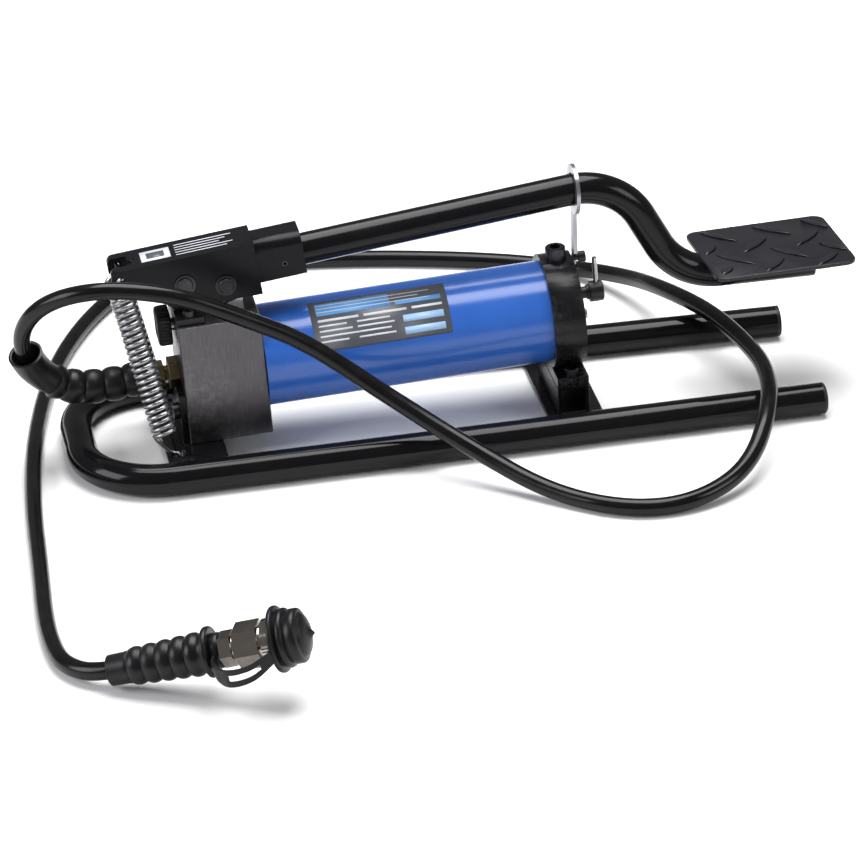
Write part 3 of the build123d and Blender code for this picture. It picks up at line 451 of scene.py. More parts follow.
def gloss_paint(name, groups, colour, worn, roughness=0.1, peel=0.04, dust=0.1, shine=0.2):
    """Stoved gloss enamel with orange peel, faint clouding and rubbed corners."""
    f = Finish(name, groups, colour, roughness, Specular_IOR_Level=shine)
    paint = f.place("paint", Scale=700.0, Cloud_Scale=24.0)
    f.tint(paint["Cloud"], shade(colour, 1.2, 0.001), 0.5)
    f.roughen(paint["Cloud"], 0.05)
    scratches = f.place("scratches", Scale=45.0, Amount=0.35)
    f.tint(scratches["Mask"], worn, 0.06)
    f.roughen(scratches["Mask"], 0.25)
    f.tint(f.place("specks", Scale=520.0, Coverage=0.02)["Mask"], worn, 0.12)
    settled = f.place("dust", Amount=dust, Scale=60.0)["Mask"]
    f.tint(settled, (0.32, 0.31, 0.30), 0.05)
    f.roughen(settled, 0.14)
    f.relief(paint["Height"], peel)
    return f.material


def satin_paint(name, groups, colour, worn, roughness=0.3, shine=0.22):
    """Sprayed satin enamel with a fine tooth, specks and worn corners."""
    f = Finish(name, groups, colour, roughness, Specular_IOR_Level=shine)
    paint = f.place("paint", Scale=1500.0, Cloud_Scale=32.0)
    f.tint(paint["Cloud"], shade(colour, 1.3, 0.001), 0.6)
    f.roughen(paint["Cloud"], 0.08)
    f.tint(f.place("specks", Scale=900.0, Coverage=0.03)["Mask"], shade(colour, 3, 0.01), 0.3)
    f.tint(f.place("scratches", Scale=70.0, Amount=0.6)["Mask"], worn, 0.08)
    f.tint(f.place("wear", Amount=0.9, Breakup=300.0)["Mask"], worn, 0.15)
    f.relief(paint["Height"], 0.12)
    return f.material


def bare_metal(name, groups, colour, dark, roughness=0.25, scratch=0.8, grain=0.06):
    """Plated or machined metal with cloudy tarnish, hairlines and pits; on chrome the dark clouds
    are painted dark reflections.
    """
    f = Finish(name, groups, colour, roughness, metallic=1.0)
    paint = f.place("paint", Scale=1300.0, Cloud_Scale=70.0)
    # Dark clouds: tarnish on most metals; on chrome they are painted dark reflections.
    f.tint(paint["Cloud"], dark, 0.45)
    f.roughen(paint["Cloud"], 0.14)
    scratches = f.place("scratches", Scale=90.0, Amount=scratch)
    f.tint(scratches["Mask"], shade(colour, 1.3, 0.03), 0.5)
    f.roughen(scratches["Mask"], 0.15)
    f.tint(f.place("specks", Scale=650.0, Coverage=0.05)["Mask"], shade(dark, 0.35), 0.5)
    f.relief(scratches["Height"], grain, 0.0001)
    f.relief(paint["Height"], grain)
    return f.material


def moulded(name, groups, colour, roughness=0.5, grain=0.12, scale=1600.0, shine=0.25):
    """Moulded rubber or plastic with a fine matt grain and bloom."""
    f = Finish(name, groups, colour, roughness, Specular_IOR_Level=shine)
    paint = f.place("paint", Scale=scale, Cloud_Scale=45.0)
    f.tint(paint["Cloud"], shade(colour, 1.4, 0.001), 0.7)
    f.roughen(paint["Cloud"], 0.12)
    f.tint(f.place("specks", Scale=1100.0, Coverage=0.02)["Mask"], (0.18, 0.18, 0.18), 0.1)
    f.tint(f.place("dust", Amount=0.3, Scale=80.0)["Mask"], (0.28, 0.27, 0.26), 0.05)
    f.relief(paint["Height"], grain)
    return f.material


def oiled_steel(name, groups, colour, bright):
    """Milled and oiled block steel: faint tool lines, hairline scratches and bright nicks."""
    f = Finish(name, groups, colour, 0.3, metallic=0.9)
    paint = f.place("paint", Scale=500.0, Cloud_Scale=18.0)
    f.tint(paint["Cloud"], shade(colour, 1.3), 0.7)
    f.roughen(paint["Cloud"], 0.16)
    coords = object_coords(f.tree)
    tool_lines = noise(f.tree, coords, 60.0, 2.0, 0.5, (30.0, 1.0, 1.0))
    f.tint(ramp(f.tree, tool_lines, 0.35, 0.75), shade(colour, 0.7), 0.6)
    scratches = f.place("scratches", Scale=80.0, Amount=0.9)
    f.tint(scratches["Mask"], bright, 0.22)
    f.tint(f.place("specks", Scale=380.0, Coverage=0.045)["Mask"], bright, 0.5)
    f.tint(f.place("wear", Amount=0.9, Breakup=200.0)["Mask"], bright, 0.7)
    f.relief(tool_lines, 0.1, 0.0001)
    f.relief(scratches["Height"], 0.05, 0.0001)
    return f.material


def printed_film(name, groups, colour):
    """Printed label film, slightly clouded and rubbed."""
    f = Finish(name, groups, colour, 0.35)
    paint = f.place("paint", Scale=1200.0, Cloud_Scale=60.0)
    f.tint(paint["Cloud"], shade(colour, 1.12), 0.6)
    f.tint(f.place("specks", Scale=800.0, Coverage=0.03)["Mask"], shade(colour, 0.6), 0.5)
    f.relief(paint["Height"], 0.05)
    return f.material


# ---- Settings ----


def paint_colour(name, description, default):
    """A colour setting."""
    return FloatVectorProperty(
        name=name, description=description, default=default,
        subtype="COLOR", size=3, min=0, max=1,
    )


class PumpColours(bpy.types.PropertyGroup):
    """Paint and plating colours."""

    tank: paint_colour("Tank enamel", "Colour of the reservoir", (0.025, 0.105, 0.42))
    enamel: paint_colour(
        "Gloss enamel", "Colour of the base and lever tubes", (0.0035, 0.0035, 0.0042)
    )
    satin: paint_colour("Satin enamel", "Colour of the brackets and clamp", (0.005, 0.005, 0.006))
    block: paint_colour("Block steel", "Colour of the oiled pump block", (0.085, 0.080, 0.086))
    zinc: paint_colour("Zinc plating", "Colour of the springs and link", (0.36, 0.36, 0.38))
    passivate: paint_colour(
        "Yellow passivate", "Colour of the outlet fittings", (0.20, 0.165, 0.09)
    )
    rubber: paint_colour("Rubber", "Colour of the boots and cap", (0.004, 0.004, 0.0048))


class PumpSizes(bpy.types.PropertyGroup):
    """Sizes of the pieces that a user would change."""

    hose_diameter: FloatProperty(
        name="Hose diameter", description="Outside diameter of the hose", unit="LENGTH",
        default=0.0135, min=0.008, max=0.02,
    )
    wire: FloatProperty(
        name="Spring wire", description="Diameter of the return springs' wire", unit="LENGTH",
        default=0.0036, min=0.002, max=0.004,
    )
    coils: FloatProperty(
        name="Spring coils", description="Turns in each return spring", default=22.5, min=8, max=30,
    )
    tread_height: FloatProperty(
        name="Tread height", description="Height of the pedal's raised treads", unit="LENGTH",
        default=0.0013, min=0.0003, max=0.002,
    )
    boot_ribs: IntProperty(
        name="Boot ribs", description="Growing ribs on the coupler's boot", default=5, min=3, max=8,
    )


class PumpSettings(bpy.types.PropertyGroup):
    """Everything a user can set."""

    colours: PointerProperty(type=PumpColours)
    sizes: PointerProperty(type=PumpSizes)


FINISHES = {}


def finish_of(key):
    """A finish made by the first operator."""
    if key not in FINISHES:
        raise RuntimeError(f"finish {key} isn't made yet: run Prepare Finishes first")
    return FINISHES[key]


class PUMP_OT_finishes(bpy.types.Operator):
    """Make the shared shader groups and every finish"""

    bl_idname = "pump.finishes"
    bl_label = "Prepare Finishes"

    def execute(self, context):
        c = context.scene.pump.colours
        groups = build_groups()
        grey = (0.25, 0.25, 0.26)
        enamel, satin, rubber = tuple(c.enamel), tuple(c.satin), tuple(c.rubber)
        FINISHES.update(
            gloss=gloss_paint("Gloss black enamel", groups, enamel, grey),
            lever=gloss_paint("Lever enamel", groups, enamel, grey, 0.14, 0.05, 0.2),
            tank=gloss_paint(
                "Blue tank enamel", groups, tuple(c.tank), (0.5, 0.55, 0.6), 0.18, 0.03, 0.1, 0.45
            ),
            satin=satin_paint("Satin black enamel", groups, satin, grey, 0.24),
            bracket=satin_paint(
                "Lever bracket enamel", groups, (0.0045, 0.0045, 0.006), grey, 0.26, 0.14
            ),
            pedal=satin_paint("Pedal enamel", groups, (0.009, 0.009, 0.012), grey, 0.26, 0.34),
            block=oiled_steel("Oiled block steel", groups, tuple(c.block), (0.55, 0.54, 0.53)),
            zinc=bare_metal("Bright zinc", groups, tuple(c.zinc), (0.26, 0.26, 0.28), 0.26, 0.5),
            passivate=bare_metal(
                "Yellow zinc", groups, tuple(c.passivate), (0.1, 0.075, 0.04), 0.26
            ),
            steel=bare_metal("Ground steel", groups, (0.42, 0.42, 0.43), (0.26, 0.26, 0.27), 0.22),
            oxide=bare_metal(
                "Black oxide", groups, (0.05, 0.05, 0.053), (0.02, 0.02, 0.02), 0.32, 0.4
            ),
            # Chrome's warm tone and dark clouds are painted reflections, standing in for brown,
            # dark surroundings mirrored in the plate.
            chrome=bare_metal(
                "Chrome plate", groups, (0.42, 0.385, 0.35), (0.12, 0.098, 0.08), 0.08, 0.3, 0.02
            ),
            rubber=moulded("Boot rubber", groups, rubber, 0.3, 0.06),
            cap=moulded("Cap rubber", groups, rubber, 0.32, 0.1),
            plastic=moulded("Knob plastic", groups, (0.011, 0.011, 0.0125), 0.34, 0.2, 900.0),
            hose=moulded("Hose cover", groups, (0.003, 0.003, 0.0034), 0.14, 0.04, 700.0, 0.22),
            spring=bare_metal(
                "Spring zinc", groups, (0.40, 0.40, 0.41), (0.13, 0.13, 0.14), 0.22, 0.5
            ),
            # Flat black for the painted shade that lies on the plate beside each pedal tread.
            grime=moulded(
                "Crevice grime", groups, (0.0015, 0.0015, 0.0018), 0.9, 0.1, 900.0, 0.02
            ),
            film_dark=printed_film("Label grey", groups, (0.075, 0.08, 0.095)),
            film_white=printed_film("Label white", groups, (0.62, 0.64, 0.68)),
            film_blue=printed_film("Label blue", groups, (0.10, 0.30, 0.62)),
            film_pale=printed_film("Label pale blue", groups, (0.32, 0.50, 0.74)),
        )
        return {"FINISHED"}


SOLID_FINISHES = {
    "gloss": ["frame_tube"],
    "lever": ["lever_tube"],
    "tank": ["reservoir_tube"],
    "satin": [
        "front_bracket", "rear_cross_plate", "saddle_bar", "ring_clamp", "pivot_lug", "end_cap",
    ],
    "bracket": ["lever_bracket", "tube_socket"],
    "block": ["pump_block"],
    "zinc": ["lock_link"],
    "passivate": ["outlet_adaptor", "swivel_nut"],
    "steel": [
        "plunger", "gland_nut", "tie_rod", "suction_tube", "suction_strainer",
        "outlet_check_ball", "release_stem", "vent_pin", "pump_end_ferrule", "far_end_ferrule",
    ],
    "oxide": [
        "pivot_pin", "plunger_pin", "saddle_screws", "filler_screw", "lock_screw", "vent_screw",
        "tie_rod_nut", "bracket_screws", "lug_screws", "set_screw", "pin_retaining_rings",
    ],
    "chrome": ["hose_adaptor", "coupler_body", "coupler_collar"],
    "rubber": ["tank_seal_front", "tank_seal_rear", "plunger_seal", "cap_strap"],
    "plastic": ["leg_plugs", "lever_end_plug"],
}
ROUNDED_SOLIDS = {
    "front_bracket": 0.8, "rear_cross_plate": 0.6, "saddle_bar": 0.5, "ring_clamp": 0.7,
    "lever_bracket": 0.8, "pivot_lug": 0.8, "tube_socket": 0.8,
    "swivel_nut": 0.4, "outlet_adaptor": 0.4, "hose_adaptor": 0.4, "coupler_body": 0.5,
    "gland_nut": 0.5, "plunger": 0.5,
}


class PUMP_OT_solids(bpy.types.Operator):
    """Give the frame's solids their finishes and soft corners"""

    bl_idname = "pump.solids"
    bl_label = "Finish Solid Parts"

    def execute(self, context):
        for key, names in SOLID_FINISHES.items():
            for name in names:
                solid = NODES[name]
                solid.data.materials.clear()
                solid.data.materials.append(finish_of(key))
        for name, width in ROUNDED_SOLIDS.items():
            soften(NODES[name], width)
        return {"FINISHED"}


# ---- Hose and boots ----


def hose_curve(name, bevel):
    """The hose's line as a smooth curve."""
    data = bpy.data.curves.new(name, "CURVE")
    data.dimensions = "3D"
    data.resolution_u = 16
    data.bevel_depth = bevel
    data.bevel_resolution = 8
    data.use_fill_caps = bevel > 0
    spline = data.splines.new("NURBS")
    spline.points.add(len(HOSE_POINTS) - 1)
    for point, place in zip(spline.points, HOSE_POINTS):
        point.co = (*place, 1.0)
    spline.order_u = 3
    spline.use_endpoint_u = True
    curve = bpy.data.objects.new(name, data)
    bpy.context.scene.collection.objects.link(curve)
    return curve


def hose_line():
    """Points read along the hose's smooth line."""
    curve = hose_curve("hose_line_probe", 0.0)
    bpy.context.view_layer.update()
    mesh = bpy.data.meshes.new_from_object(curve)
    points = [v.co.copy() for v in mesh.vertices]
    bpy.data.meshes.remove(mesh)
    bpy.data.objects.remove(curve)
    return points


def trimmed(points, length, step):
    """Evenly spaced points over the first stretch of a line, all in metres."""
    made = [points[0].copy()]
    run = 0.0
    want = step
    for a, b in zip(points, points[1:]):
        span = (b - a).length
        while want <= run + span and want <= length:
            made.append(a.lerp(b, (want - run) / span))
            want += step
        run += span
    return made


class PUMP_OT_hose(bpy.types.Operator):
    """Lay the hose along its route"""

    bl_idname = "pump.hose"
    bl_label = "Lay Hose"

    def execute(self, context):
        sizes = context.scene.pump.sizes
        hose = hose_curve("hose_cover", sizes.hose_diameter / 2)
        hose.data.materials.append(finish_of("hose"))
        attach(hose, "base")
        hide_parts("hose")
        return {"FINISHED"}


CUP_END = 3
BULGES_END = 75
NECK_END = 84
BULGE_PITCH = 16.0
PUMP_BOOT_LENGTH = 0.115
PUMP_BOOT_SIDES = 48


def pump_boot_radius(run):
    """Outside radius of the pump-end boot: a plain cup, then soft bulges towards its mouth."""
    if run < CUP_END:
        return 10.8 + 0.3 * run
    if run < BULGES_END:
        phase = (run - CUP_END) / BULGE_PITCH
        return 11.2 + 2.5 * abs(math.sin(math.pi * phase)) ** 0.6
    if run < NECK_END:
        return 11.2 + 0.9 * (run - BULGES_END) / 9
    return min(12.1 + (run - NECK_END) * 0.05, 13.6)


def pump_boot_bore(run):
    """Inside radius of the pump-end boot: close on the hose, then flared at its mouth."""
    return 7.0 if run < 92 else 7.0 + (run - 92) * 0.19


class PUMP_OT_pump_boot(bpy.types.Operator):
    """Slide the bulged boot over the hose at the pump's outlet"""

    bl_idname = "pump.pump_boot"
    bl_label = "Fit Pump-End Boot"

    def execute(self, context):
        line = trimmed(hose_line(), PUMP_BOOT_LENGTH, 0.001)
        bm = bmesh.new()
        outer = tube_rings(line, pump_boot_radius, PUMP_BOOT_SIDES)
        inner = tube_rings(line, pump_boot_bore, PUMP_BOOT_SIDES)
        lip = 1.2
        end = line[-1] + (line[-1] - line[-2]).normalized() * lip * MM * 0.4
        _, _, side, other = carried_frames(line)[-1]
        rim = circle_ring(end, side, other, 12.2 * MM, PUMP_BOOT_SIDES)
        add_loft(bm, outer + [rim] + list(reversed(inner)), closed=True)
        boot = publish("pump_boot", bm, finish_of("rubber"), 40)
        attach(boot, "base")
        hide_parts("pump_end_boot")
        return {"FINISHED"}


def coupler_boot_profile(ribs):
    """Outside of the coupler's boot: collar, growing ribs, then a flange."""
    profile = [(-0.5, 7.2), (0.0, 10.6), (0.6, 11.3), (13.0, 11.6), (15.0, 11.9)]
    first, length = 16, 55.0
    for rib in range(ribs):
        start = first + length * rib / ribs
        crest = 13.4 + 2.6 * (rib + 1) / ribs
        root = 11.6 + 2.4 * rib / ribs
        for i in range(10):
            t = i / 10
            swell = math.sin(math.pi * t) ** 0.7
            profile.append((start + length / ribs * t, root + (crest - root) * swell))
    flange = [
        (71.5, 14.4), (73.5, 14.8), (74.2, 17.6), (74.8, 18.3),
        (76.0, 18.5), (78.0, 18.3), (78.8, 17.6), (79.0, 16.6),
    ]
    return profile + flange


class PUMP_OT_coupler_boot(bpy.types.Operator):
    """Turn the ribbed boot behind the quick coupler"""

    bl_idname = "pump.coupler_boot"
    bl_label = "Fit Coupler Boot"

    def execute(self, context):
        outside = coupler_boot_profile(context.scene.pump.sizes.boot_ribs)
        inside = [(79.0, 10.2), (70.0, 9.8), (12.0, 9.6), (12.0, 7.0), (-0.5, 6.9)]
        bm = bmesh.new()
        add_loft(bm, turned(COUPLER, outside + inside, 72), closed=True)
        boot = publish("coupler_boot", bm, finish_of("rubber"), 40)
        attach(boot, "base")
        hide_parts("far_end_boot")
        return {"FINISHED"}


class PUMP_OT_dust_cap(bpy.types.Operator):
    """Turn the stepped dust cap with its small cone"""

    bl_idname = "pump.dust_cap"
    bl_label = "Fit Dust Cap"

    def execute(self, context):
        outside = [
            (126.0, 17.4), (126.0, 22.8), (126.4, 23.6), (127.1, 24.0), (128.9, 24.0),
            (129.6, 23.6), (130.0, 22.8), (130.1, 21.0), (130.6, 20.2), (131.6, 20.4),
            (132.4, 21.2), (134.0, 21.5), (135.6, 21.2), (136.4, 20.2), (137.0, 18.9),
            (137.8, 18.9), (138.6, 19.8), (143.6, 19.7), (144.8, 19.2), (145.5, 18.2),
            (145.8, 16.8), (146.0, 15.9), (147.2, 15.2), (148.4, 13.6), (149.6, 11.0),
            (150.6, 8.0), (151.4, 5.2), (152.4, 2.8), (154.4, 0.8), (155.0, 0.0),
        ]
        inside = [(144.0, 0.0), (144.0, 15.9), (143.0, 16.8), (126.9, 16.8)]
        bm = bmesh.new()
        add_loft(bm, turned(COUPLER, outside + inside, 96), closed=True)
        bmesh.ops.remove_doubles(bm, verts=bm.verts, dist=0.00002)
        cap = publish("dust_cap_shell", bm, finish_of("cap"), 50)
        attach(cap, "cap")
        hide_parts("dust_cap")
        return {"FINISHED"}


STRAP_BAND = [(79.2, 9.8), (79.2, 12.6), (79.8, 13.0), (84.6, 13.0), (85.2, 12.6), (85.2, 9.8)]
STRAP_ROUTE = [
    (82.4, -12.4, -1), (84.5, -25, -3), (96, -36, -5), (113, -35, -4.5), (127.5, -23.6, -1),
]
SLOT_START, SLOT_END = 0.5, 0.86
SLOT_SHARE = 0.42


class PUMP_OT_strap(bpy.types.Operator):
    """Hang the cap's slotted strap between the boot and the cap"""

    bl_idname = "pump.strap"
    bl_label = "Fit Cap Strap"

    def execute(self, context):
        bm = bmesh.new()
        add_loft(bm, turned(COUPLER, STRAP_BAND, 64), closed=True)
        ring = publish("strap_ring", bm, finish_of("cap"), 50)
        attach(ring, "base")
        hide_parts("cap_strap")
        line = smooth_line([COUPLER @ Vector(p) for p in STRAP_ROUTE], 16)
        up = COUPLER.col[2].to_3d().normalized()
        frames = carried_frames(line)
        total = len(frames) - 1

        def edge_at(i):
            """Half width of the strap, wider in the middle."""
            return (4.4 + 2.2 * math.sin(math.pi * i / total)) * MM

        bm = bmesh.new()
        thick = 1.0 * MM
        slot_from, slot_to = int(total * SLOT_START), int(total * SLOT_END)

        def bar(start, stop, low, high):
            """A stretch of strap between two shares of its width."""
            rings = []
            for i in range(start, stop + 1):
                point, along, _, _ = frames[i]
                across = (up - along * up.dot(along)).normalized()
                out = along.cross(across)
                a, b = across * edge_at(i) * low, across * edge_at(i) * high
                under, over = point - out * thick, point + out * thick
                rings.append([under + a, under + b, over + b, over + a])
            add_loft(bm, rings)

        bar(0, slot_from, -1, 1)
        bar(slot_from, slot_to, -1, -SLOT_SHARE)
        bar(slot_from, slot_to, SLOT_SHARE, 1)
        bar(slot_to, total, -1, 1)
        strap = publish("strap_band", bm, finish_of("cap"), 40)
        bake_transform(strap)
        return {"FINISHED"}


class PUMP_OT_declare_hose(bpy.types.Operator):
    """Read points along the hose's smooth line; nothing is done with them"""

    bl_idname = "pump.declare_hose"
    bl_label = "Declare Hose"

    def execute(self, context):
        line = hose_line()
        return {"FINISHED"}


# ---- Springs ----


SPRING_TOP = (-0.2609, 0.015, 0.150)
SPRING_FOOT = (-0.2356, 0.048, 0.033)
COIL_OUTSIDE = 0.0102
HOOK_ROOM = 0.013
POINTS_PER_TURN = 28


class PUMP_OT_springs(bpy.types.Operator):
    """Wind the two return springs with their hooks"""

    bl_idname = "pump.springs"
    bl_label = "Wind Springs"

    def execute(self, context):
        sizes = context.scene.pump.sizes
        wire = sizes.wire / 2
        coil = COIL_OUTSIDE - wire
        for side, label in ((-1, "near"), (1, "far")):
            top = Vector((SPRING_TOP[0], side * SPRING_TOP[1], SPRING_TOP[2]))
            foot = Vector((SPRING_FOOT[0], side * SPRING_FOOT[1], SPRING_FOOT[2]))
            axis = (top - foot).normalized()
            across = axis.cross(Vector((0, 1, 0))).normalized()
            other = axis.cross(across)
            length = (top - foot).length - HOOK_ROOM
            base = foot + axis * 0.002
            turns = sizes.coils
            points = []
            steps = int(turns * POINTS_PER_TURN)
            for i in range(steps + 1):
                t = i / steps
                angle = 2 * math.pi * turns * t
                spoke = across * math.cos(angle) + other * math.sin(angle)
                points.append(base + axis * length * t + spoke * coil)
            hole = BODY @ Vector((-210, side * 48, -50))
            out = Vector((0, side, 0))
            hook_low = smooth_line(
                [
                    hole + out * 0.0045 + Vector((0.0005, 0, 0.004)),
                    hole + out * 0.0035 + Vector((0, 0, -0.001)),
                    hole - out * 0.004 + Vector((-0.002, 0, -0.002)),
                    hole - out * 0.004 + Vector((-0.009, 0, 0.001)),
                    points[0] - axis * 0.005 - across * 0.002,
                    points[0],
                ],
                8,
            )
            eye = LEVER @ Vector((-243, side * 15, 14))
            inward = Vector((0, -side, 0))
            hook_high = smooth_line(
                [
                    points[-1],
                    points[-1] + axis * 0.004 + (top - points[-1]) * 0.4,
                    eye + Vector((-0.003, side * 0.004, -0.002)),
                    eye + Vector((-0.0005, side * 0.001, 0.0012)),
                    eye + inward * 0.0045 + Vector((0.001, 0, -0.001)),
                ],
                8,
            )
            bm = bmesh.new()
            line = hook_low[:-1] + points + hook_high[1:]
            add_loft(bm, tube_rings(line, lambda run: wire / MM, 10))
            spring = publish(f"coil_{label}", bm, finish_of("spring"), 60)
            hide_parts(f"spring_{label}")
            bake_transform(spring)
        return {"FINISHED"}


# ---- Pedal, labels and knob ----

PEDAL_LENGTH = 115.0
PEDAL_WIDTH = 92.0
PEDAL_SKEW = 3.5
PEDAL_CORNER = 9
TREAD_STEPS = 16
TREAD_SECTION = (
    (-1, -0.3), (-0.96, 0.8), (-0.72, 1), (-0.2, 0.95), (0.4, 0.75), (0.8, 0.35), (1, -0.3),
)
TREADS = [
    ((210.6, 38.1), (233.4, 18.3)), ((254.1, 38.4), (278.8, 20.0)),
    ((294.2, 42.0), (310.5, 25.4)), ((213.6, -5.6), (237.3, -27.3)),
    ((257.9, -3.8), (281.4, -25.5)), ((297.1, -3.6), (314.4, -20.1)),
    ((236.0, -3.8), (257.3, 15.9)), ((279.6, -1.8), (300.5, 18.2)),
    ((205.3, -0.8), (215.2, 12.8)), ((209.4, -40.0), (218.8, -29.3)),
    ((244.4, -42.5), (261.5, -24.1)), ((286.6, -41.8), (305.3, -24.1)),
]


class PUMP_OT_pedal(bpy.types.Operator):
    """Cut the pedal plate with its raised treads, and lay a dark strip of painted shade beside each
    tread
    """

    bl_idname = "pump.pedal"
    bl_label = "Make Pedal"

    def execute(self, context):
        low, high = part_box("pedal_plate")
        middle = (low + high) / 2
        top = high.z / MM
        flat = Matrix.Rotation(math.radians(PEDAL_SKEW), 4, "Z") @ Matrix.Scale(MM, 4)
        flat.translation = (middle.x, middle.y, 0)
        outline = rounded_outline(PEDAL_LENGTH / 2, PEDAL_WIDTH / 2, PEDAL_CORNER)
        bm = bmesh.new()
        add_loft(bm, plate_rings(flat, outline, low.z / MM, top, 0.5))
        # Painted shade: a dark film on the plate along each tread's near side, where the raised
        # tread would shade it.
        grime = bmesh.new()
        rise = context.scene.pump.sizes.tread_height / MM
        for start, end in TREADS:
            a, b = Vector(start), Vector(end)
            reach = (b - a) * 0.08
            along = b - a + reach * 2
            across = Vector((-along.y, along.x)).normalized()
            rings, lines = [], []
            for i in range(TREAD_STEPS + 1):
                t = i / TREAD_STEPS
                swell = math.sin(math.pi * t)
                half = 4.0 * swell ** 0.8 + 0.15
                lift = rise * min(1.0, swell * 2.6)
                spine = a - reach + along * t + across * 1.1 * swell
                ring = []
                for share, height in TREAD_SECTION:
                    spot = spine + across * half * share
                    above = lift * height if height > 0 else height
                    ring.append(Vector((spot.x, spot.y, top + above)) * MM)
                rings.append(ring)
                # The strip runs from the tread's spine out past its near edge: painted shade on the
                # plate.
                outer = spine - across * (half + 0.75 * swell)
                edge = ((outer, -0.2), (outer, 0.05), (spine, 0.05), (spine, -0.2))
                lines.append([Vector((p.x, p.y, top + height)) * MM for p, height in edge])
            add_loft(bm, rings)
            add_loft(grime, lines)
        pedal = publish("pedal_tread", bm, finish_of("pedal"), 30)
        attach(pedal, "lever_arm")
        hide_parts("pedal_plate")
        # The painted shade strips beside the treads.
        edges = publish("pedal_grime", grime, finish_of("grime"), 30)
        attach(edges, "lever_arm")
        return {"FINISHED"}


TANK_RADIUS = 40.0
BRACKET_TOP = 22.0
GROUND_LIFT, PRINT_LIFT, TOP_LIFT = 0.06, 0.14, 0.2
PANEL_LIFT, MARK_LIFT = 0.05, 0.13


def tank_patch(bm, u0, u1, low, high, lift):
    """A patch on the reservoir between two stations and two angles above the near side."""
    rows = max(2, int((high - low) / 3))
    radius = TANK_RADIUS + lift
    grid = []
    for u in (u0, u1):
        line = []
        for i in range(rows + 1):
            angle = math.radians(low + (high - low) * i / rows)
            spot = Vector((u, -radius * math.cos(angle), radius * math.sin(angle)))
            line.append(bm.verts.new(BODY @ spot))
        grid.append(line)
    for i in range(rows):
        bm.faces.new((grid[0][i], grid[0][i + 1], grid[1][i + 1], grid[1][i]))


def label_piece(name, key, patches, draw, body):
    """Flat shapes of one colour as one piece of printed film."""
    bm = bmesh.new()
    for patch in patches:
        draw(bm, *patch)
    piece = publish(name, bm, finish_of(key), 30)
    shell = piece.modifiers.new("Film", "SOLIDIFY")
    shell.thickness = 0.00006
    shell.offset = 1
    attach(piece, body)


class PUMP_OT_tank_label(bpy.types.Operator):
    """Lay the reservoir's plain label blocks"""

    bl_idname = "pump.tank_label"
    bl_label = "Lay Tank Label"

    def execute(self, context):
        def lay(name, key, patches):
            label_piece(name, key, patches, tank_patch, "base")

        lift = PRINT_LIFT
        lay("tank_label_ground", "film_dark", [(-97, 10.8, 18.5, 83, GROUND_LIFT)])
        lay("tank_label_band", "film_blue", [(-92, -34, 60, 78, lift), (-30, 6, 60, 66, lift)])
        lines = [(-92, -60, 52, 55, lift), (-56, -22, 52, 55, lift), (-18, 6, 52, 55, lift)]
        lines += [(-92, -70 + 4 * (i % 3), 46 - 6 * i, 48 - 6 * i, lift) for i in range(4)]
        lines += [(-62, -36 + 3 * (i % 2), 46 - 6 * i, 48 - 6 * i, lift) for i in range(4)]
        lines += [(-92, -2 - 9 * (i % 2), 74.5 - 5 * i, 75.5 - 5 * i, TOP_LIFT) for i in range(3)]
        lay("tank_label_lines", "film_white", lines)
        lay("tank_label_bars", "film_pale", [(-26, 6, 38, 46, lift), (-26, 6, 24, 32, lift)])
        return {"FINISHED"}


def lever_patch(bm, s0, s1, y0, y1, lift):
    """A rectangle on top of the lever bracket."""
    corners = ((s0, y0), (s1, y0), (s1, y1), (s0, y1))
    bm.faces.new([bm.verts.new(LEVER @ Vector((s, y, BRACKET_TOP + lift))) for s, y in corners])


class PUMP_OT_lever_label(bpy.types.Operator):
    """Lay the lever bracket's plain label blocks"""

    bl_idname = "pump.lever_label"
    bl_label = "Lay Lever Label"

    def execute(self, context):
        def lay(name, key, patches):
            label_piece(name, key, patches, lever_patch, "lever_arm")

        lay("lever_label_panel", "film_white", [(-224, -201, -9.5, 8.5, PANEL_LIFT)])
        lay("lever_label_mark", "film_dark", [(-219.5, -205.5, -5.5, 4.5, MARK_LIFT)])
        lines = [
            (-197, -152 - 5 * (i % 3), 8.2 - 4.4 * i, 9.4 - 4.4 * i, PANEL_LIFT) for i in range(5)
        ]
        lay("lever_label_lines", "film_white", lines)
        return {"FINISHED"}


KNOB_RADIUS = 14.4
KNOB_RISE = 38.0
LOBES, LOBE_DEPTH = 4, 1.9
RIDGES, RIDGE_DEPTH = 40, 0.25


class PUMP_OT_knob(bpy.types.Operator):
    """Mould the lobed release knob"""

    bl_idname = "pump.knob"
    bl_label = "Mould Release Knob"

    def execute(self, context):
        count = 120
        bm = bmesh.new()
        rings = []
        profile = [
            (-204.0, 0.62), (-204.0, 0.93), (-204.5, 0.98), (-205.5, 1.0),
            (-212.0, 1.0), (-213.6, 0.98), (-214.6, 0.93), (-215.0, 0.84),
            (-215.0, 0.6), (-214.4, 0.55), (-214.4, 0.2), (-214.4, 0.005),
        ]
        for u, share in profile:
            ring = []
            for i in range(count):
                angle = 2 * math.pi * i / count
                lobe = LOBE_DEPTH * math.cos(LOBES * (angle - math.pi / 4))
                ridge = RIDGE_DEPTH * math.cos(RIDGES * angle)
                reach = (KNOB_RADIUS + lobe + ridge) * share
                y, z = reach * math.cos(angle), KNOB_RISE + reach * math.sin(angle)
                ring.append(BODY @ Vector((u, y, z)))
            rings.append(ring)
        add_loft(bm, rings)
        knob = publish("knob_grip", bm, finish_of("plastic"), 45)
        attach(knob, "release_valve")
        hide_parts("release_knob")
        return {"FINISHED"}


# ---- Stage ----


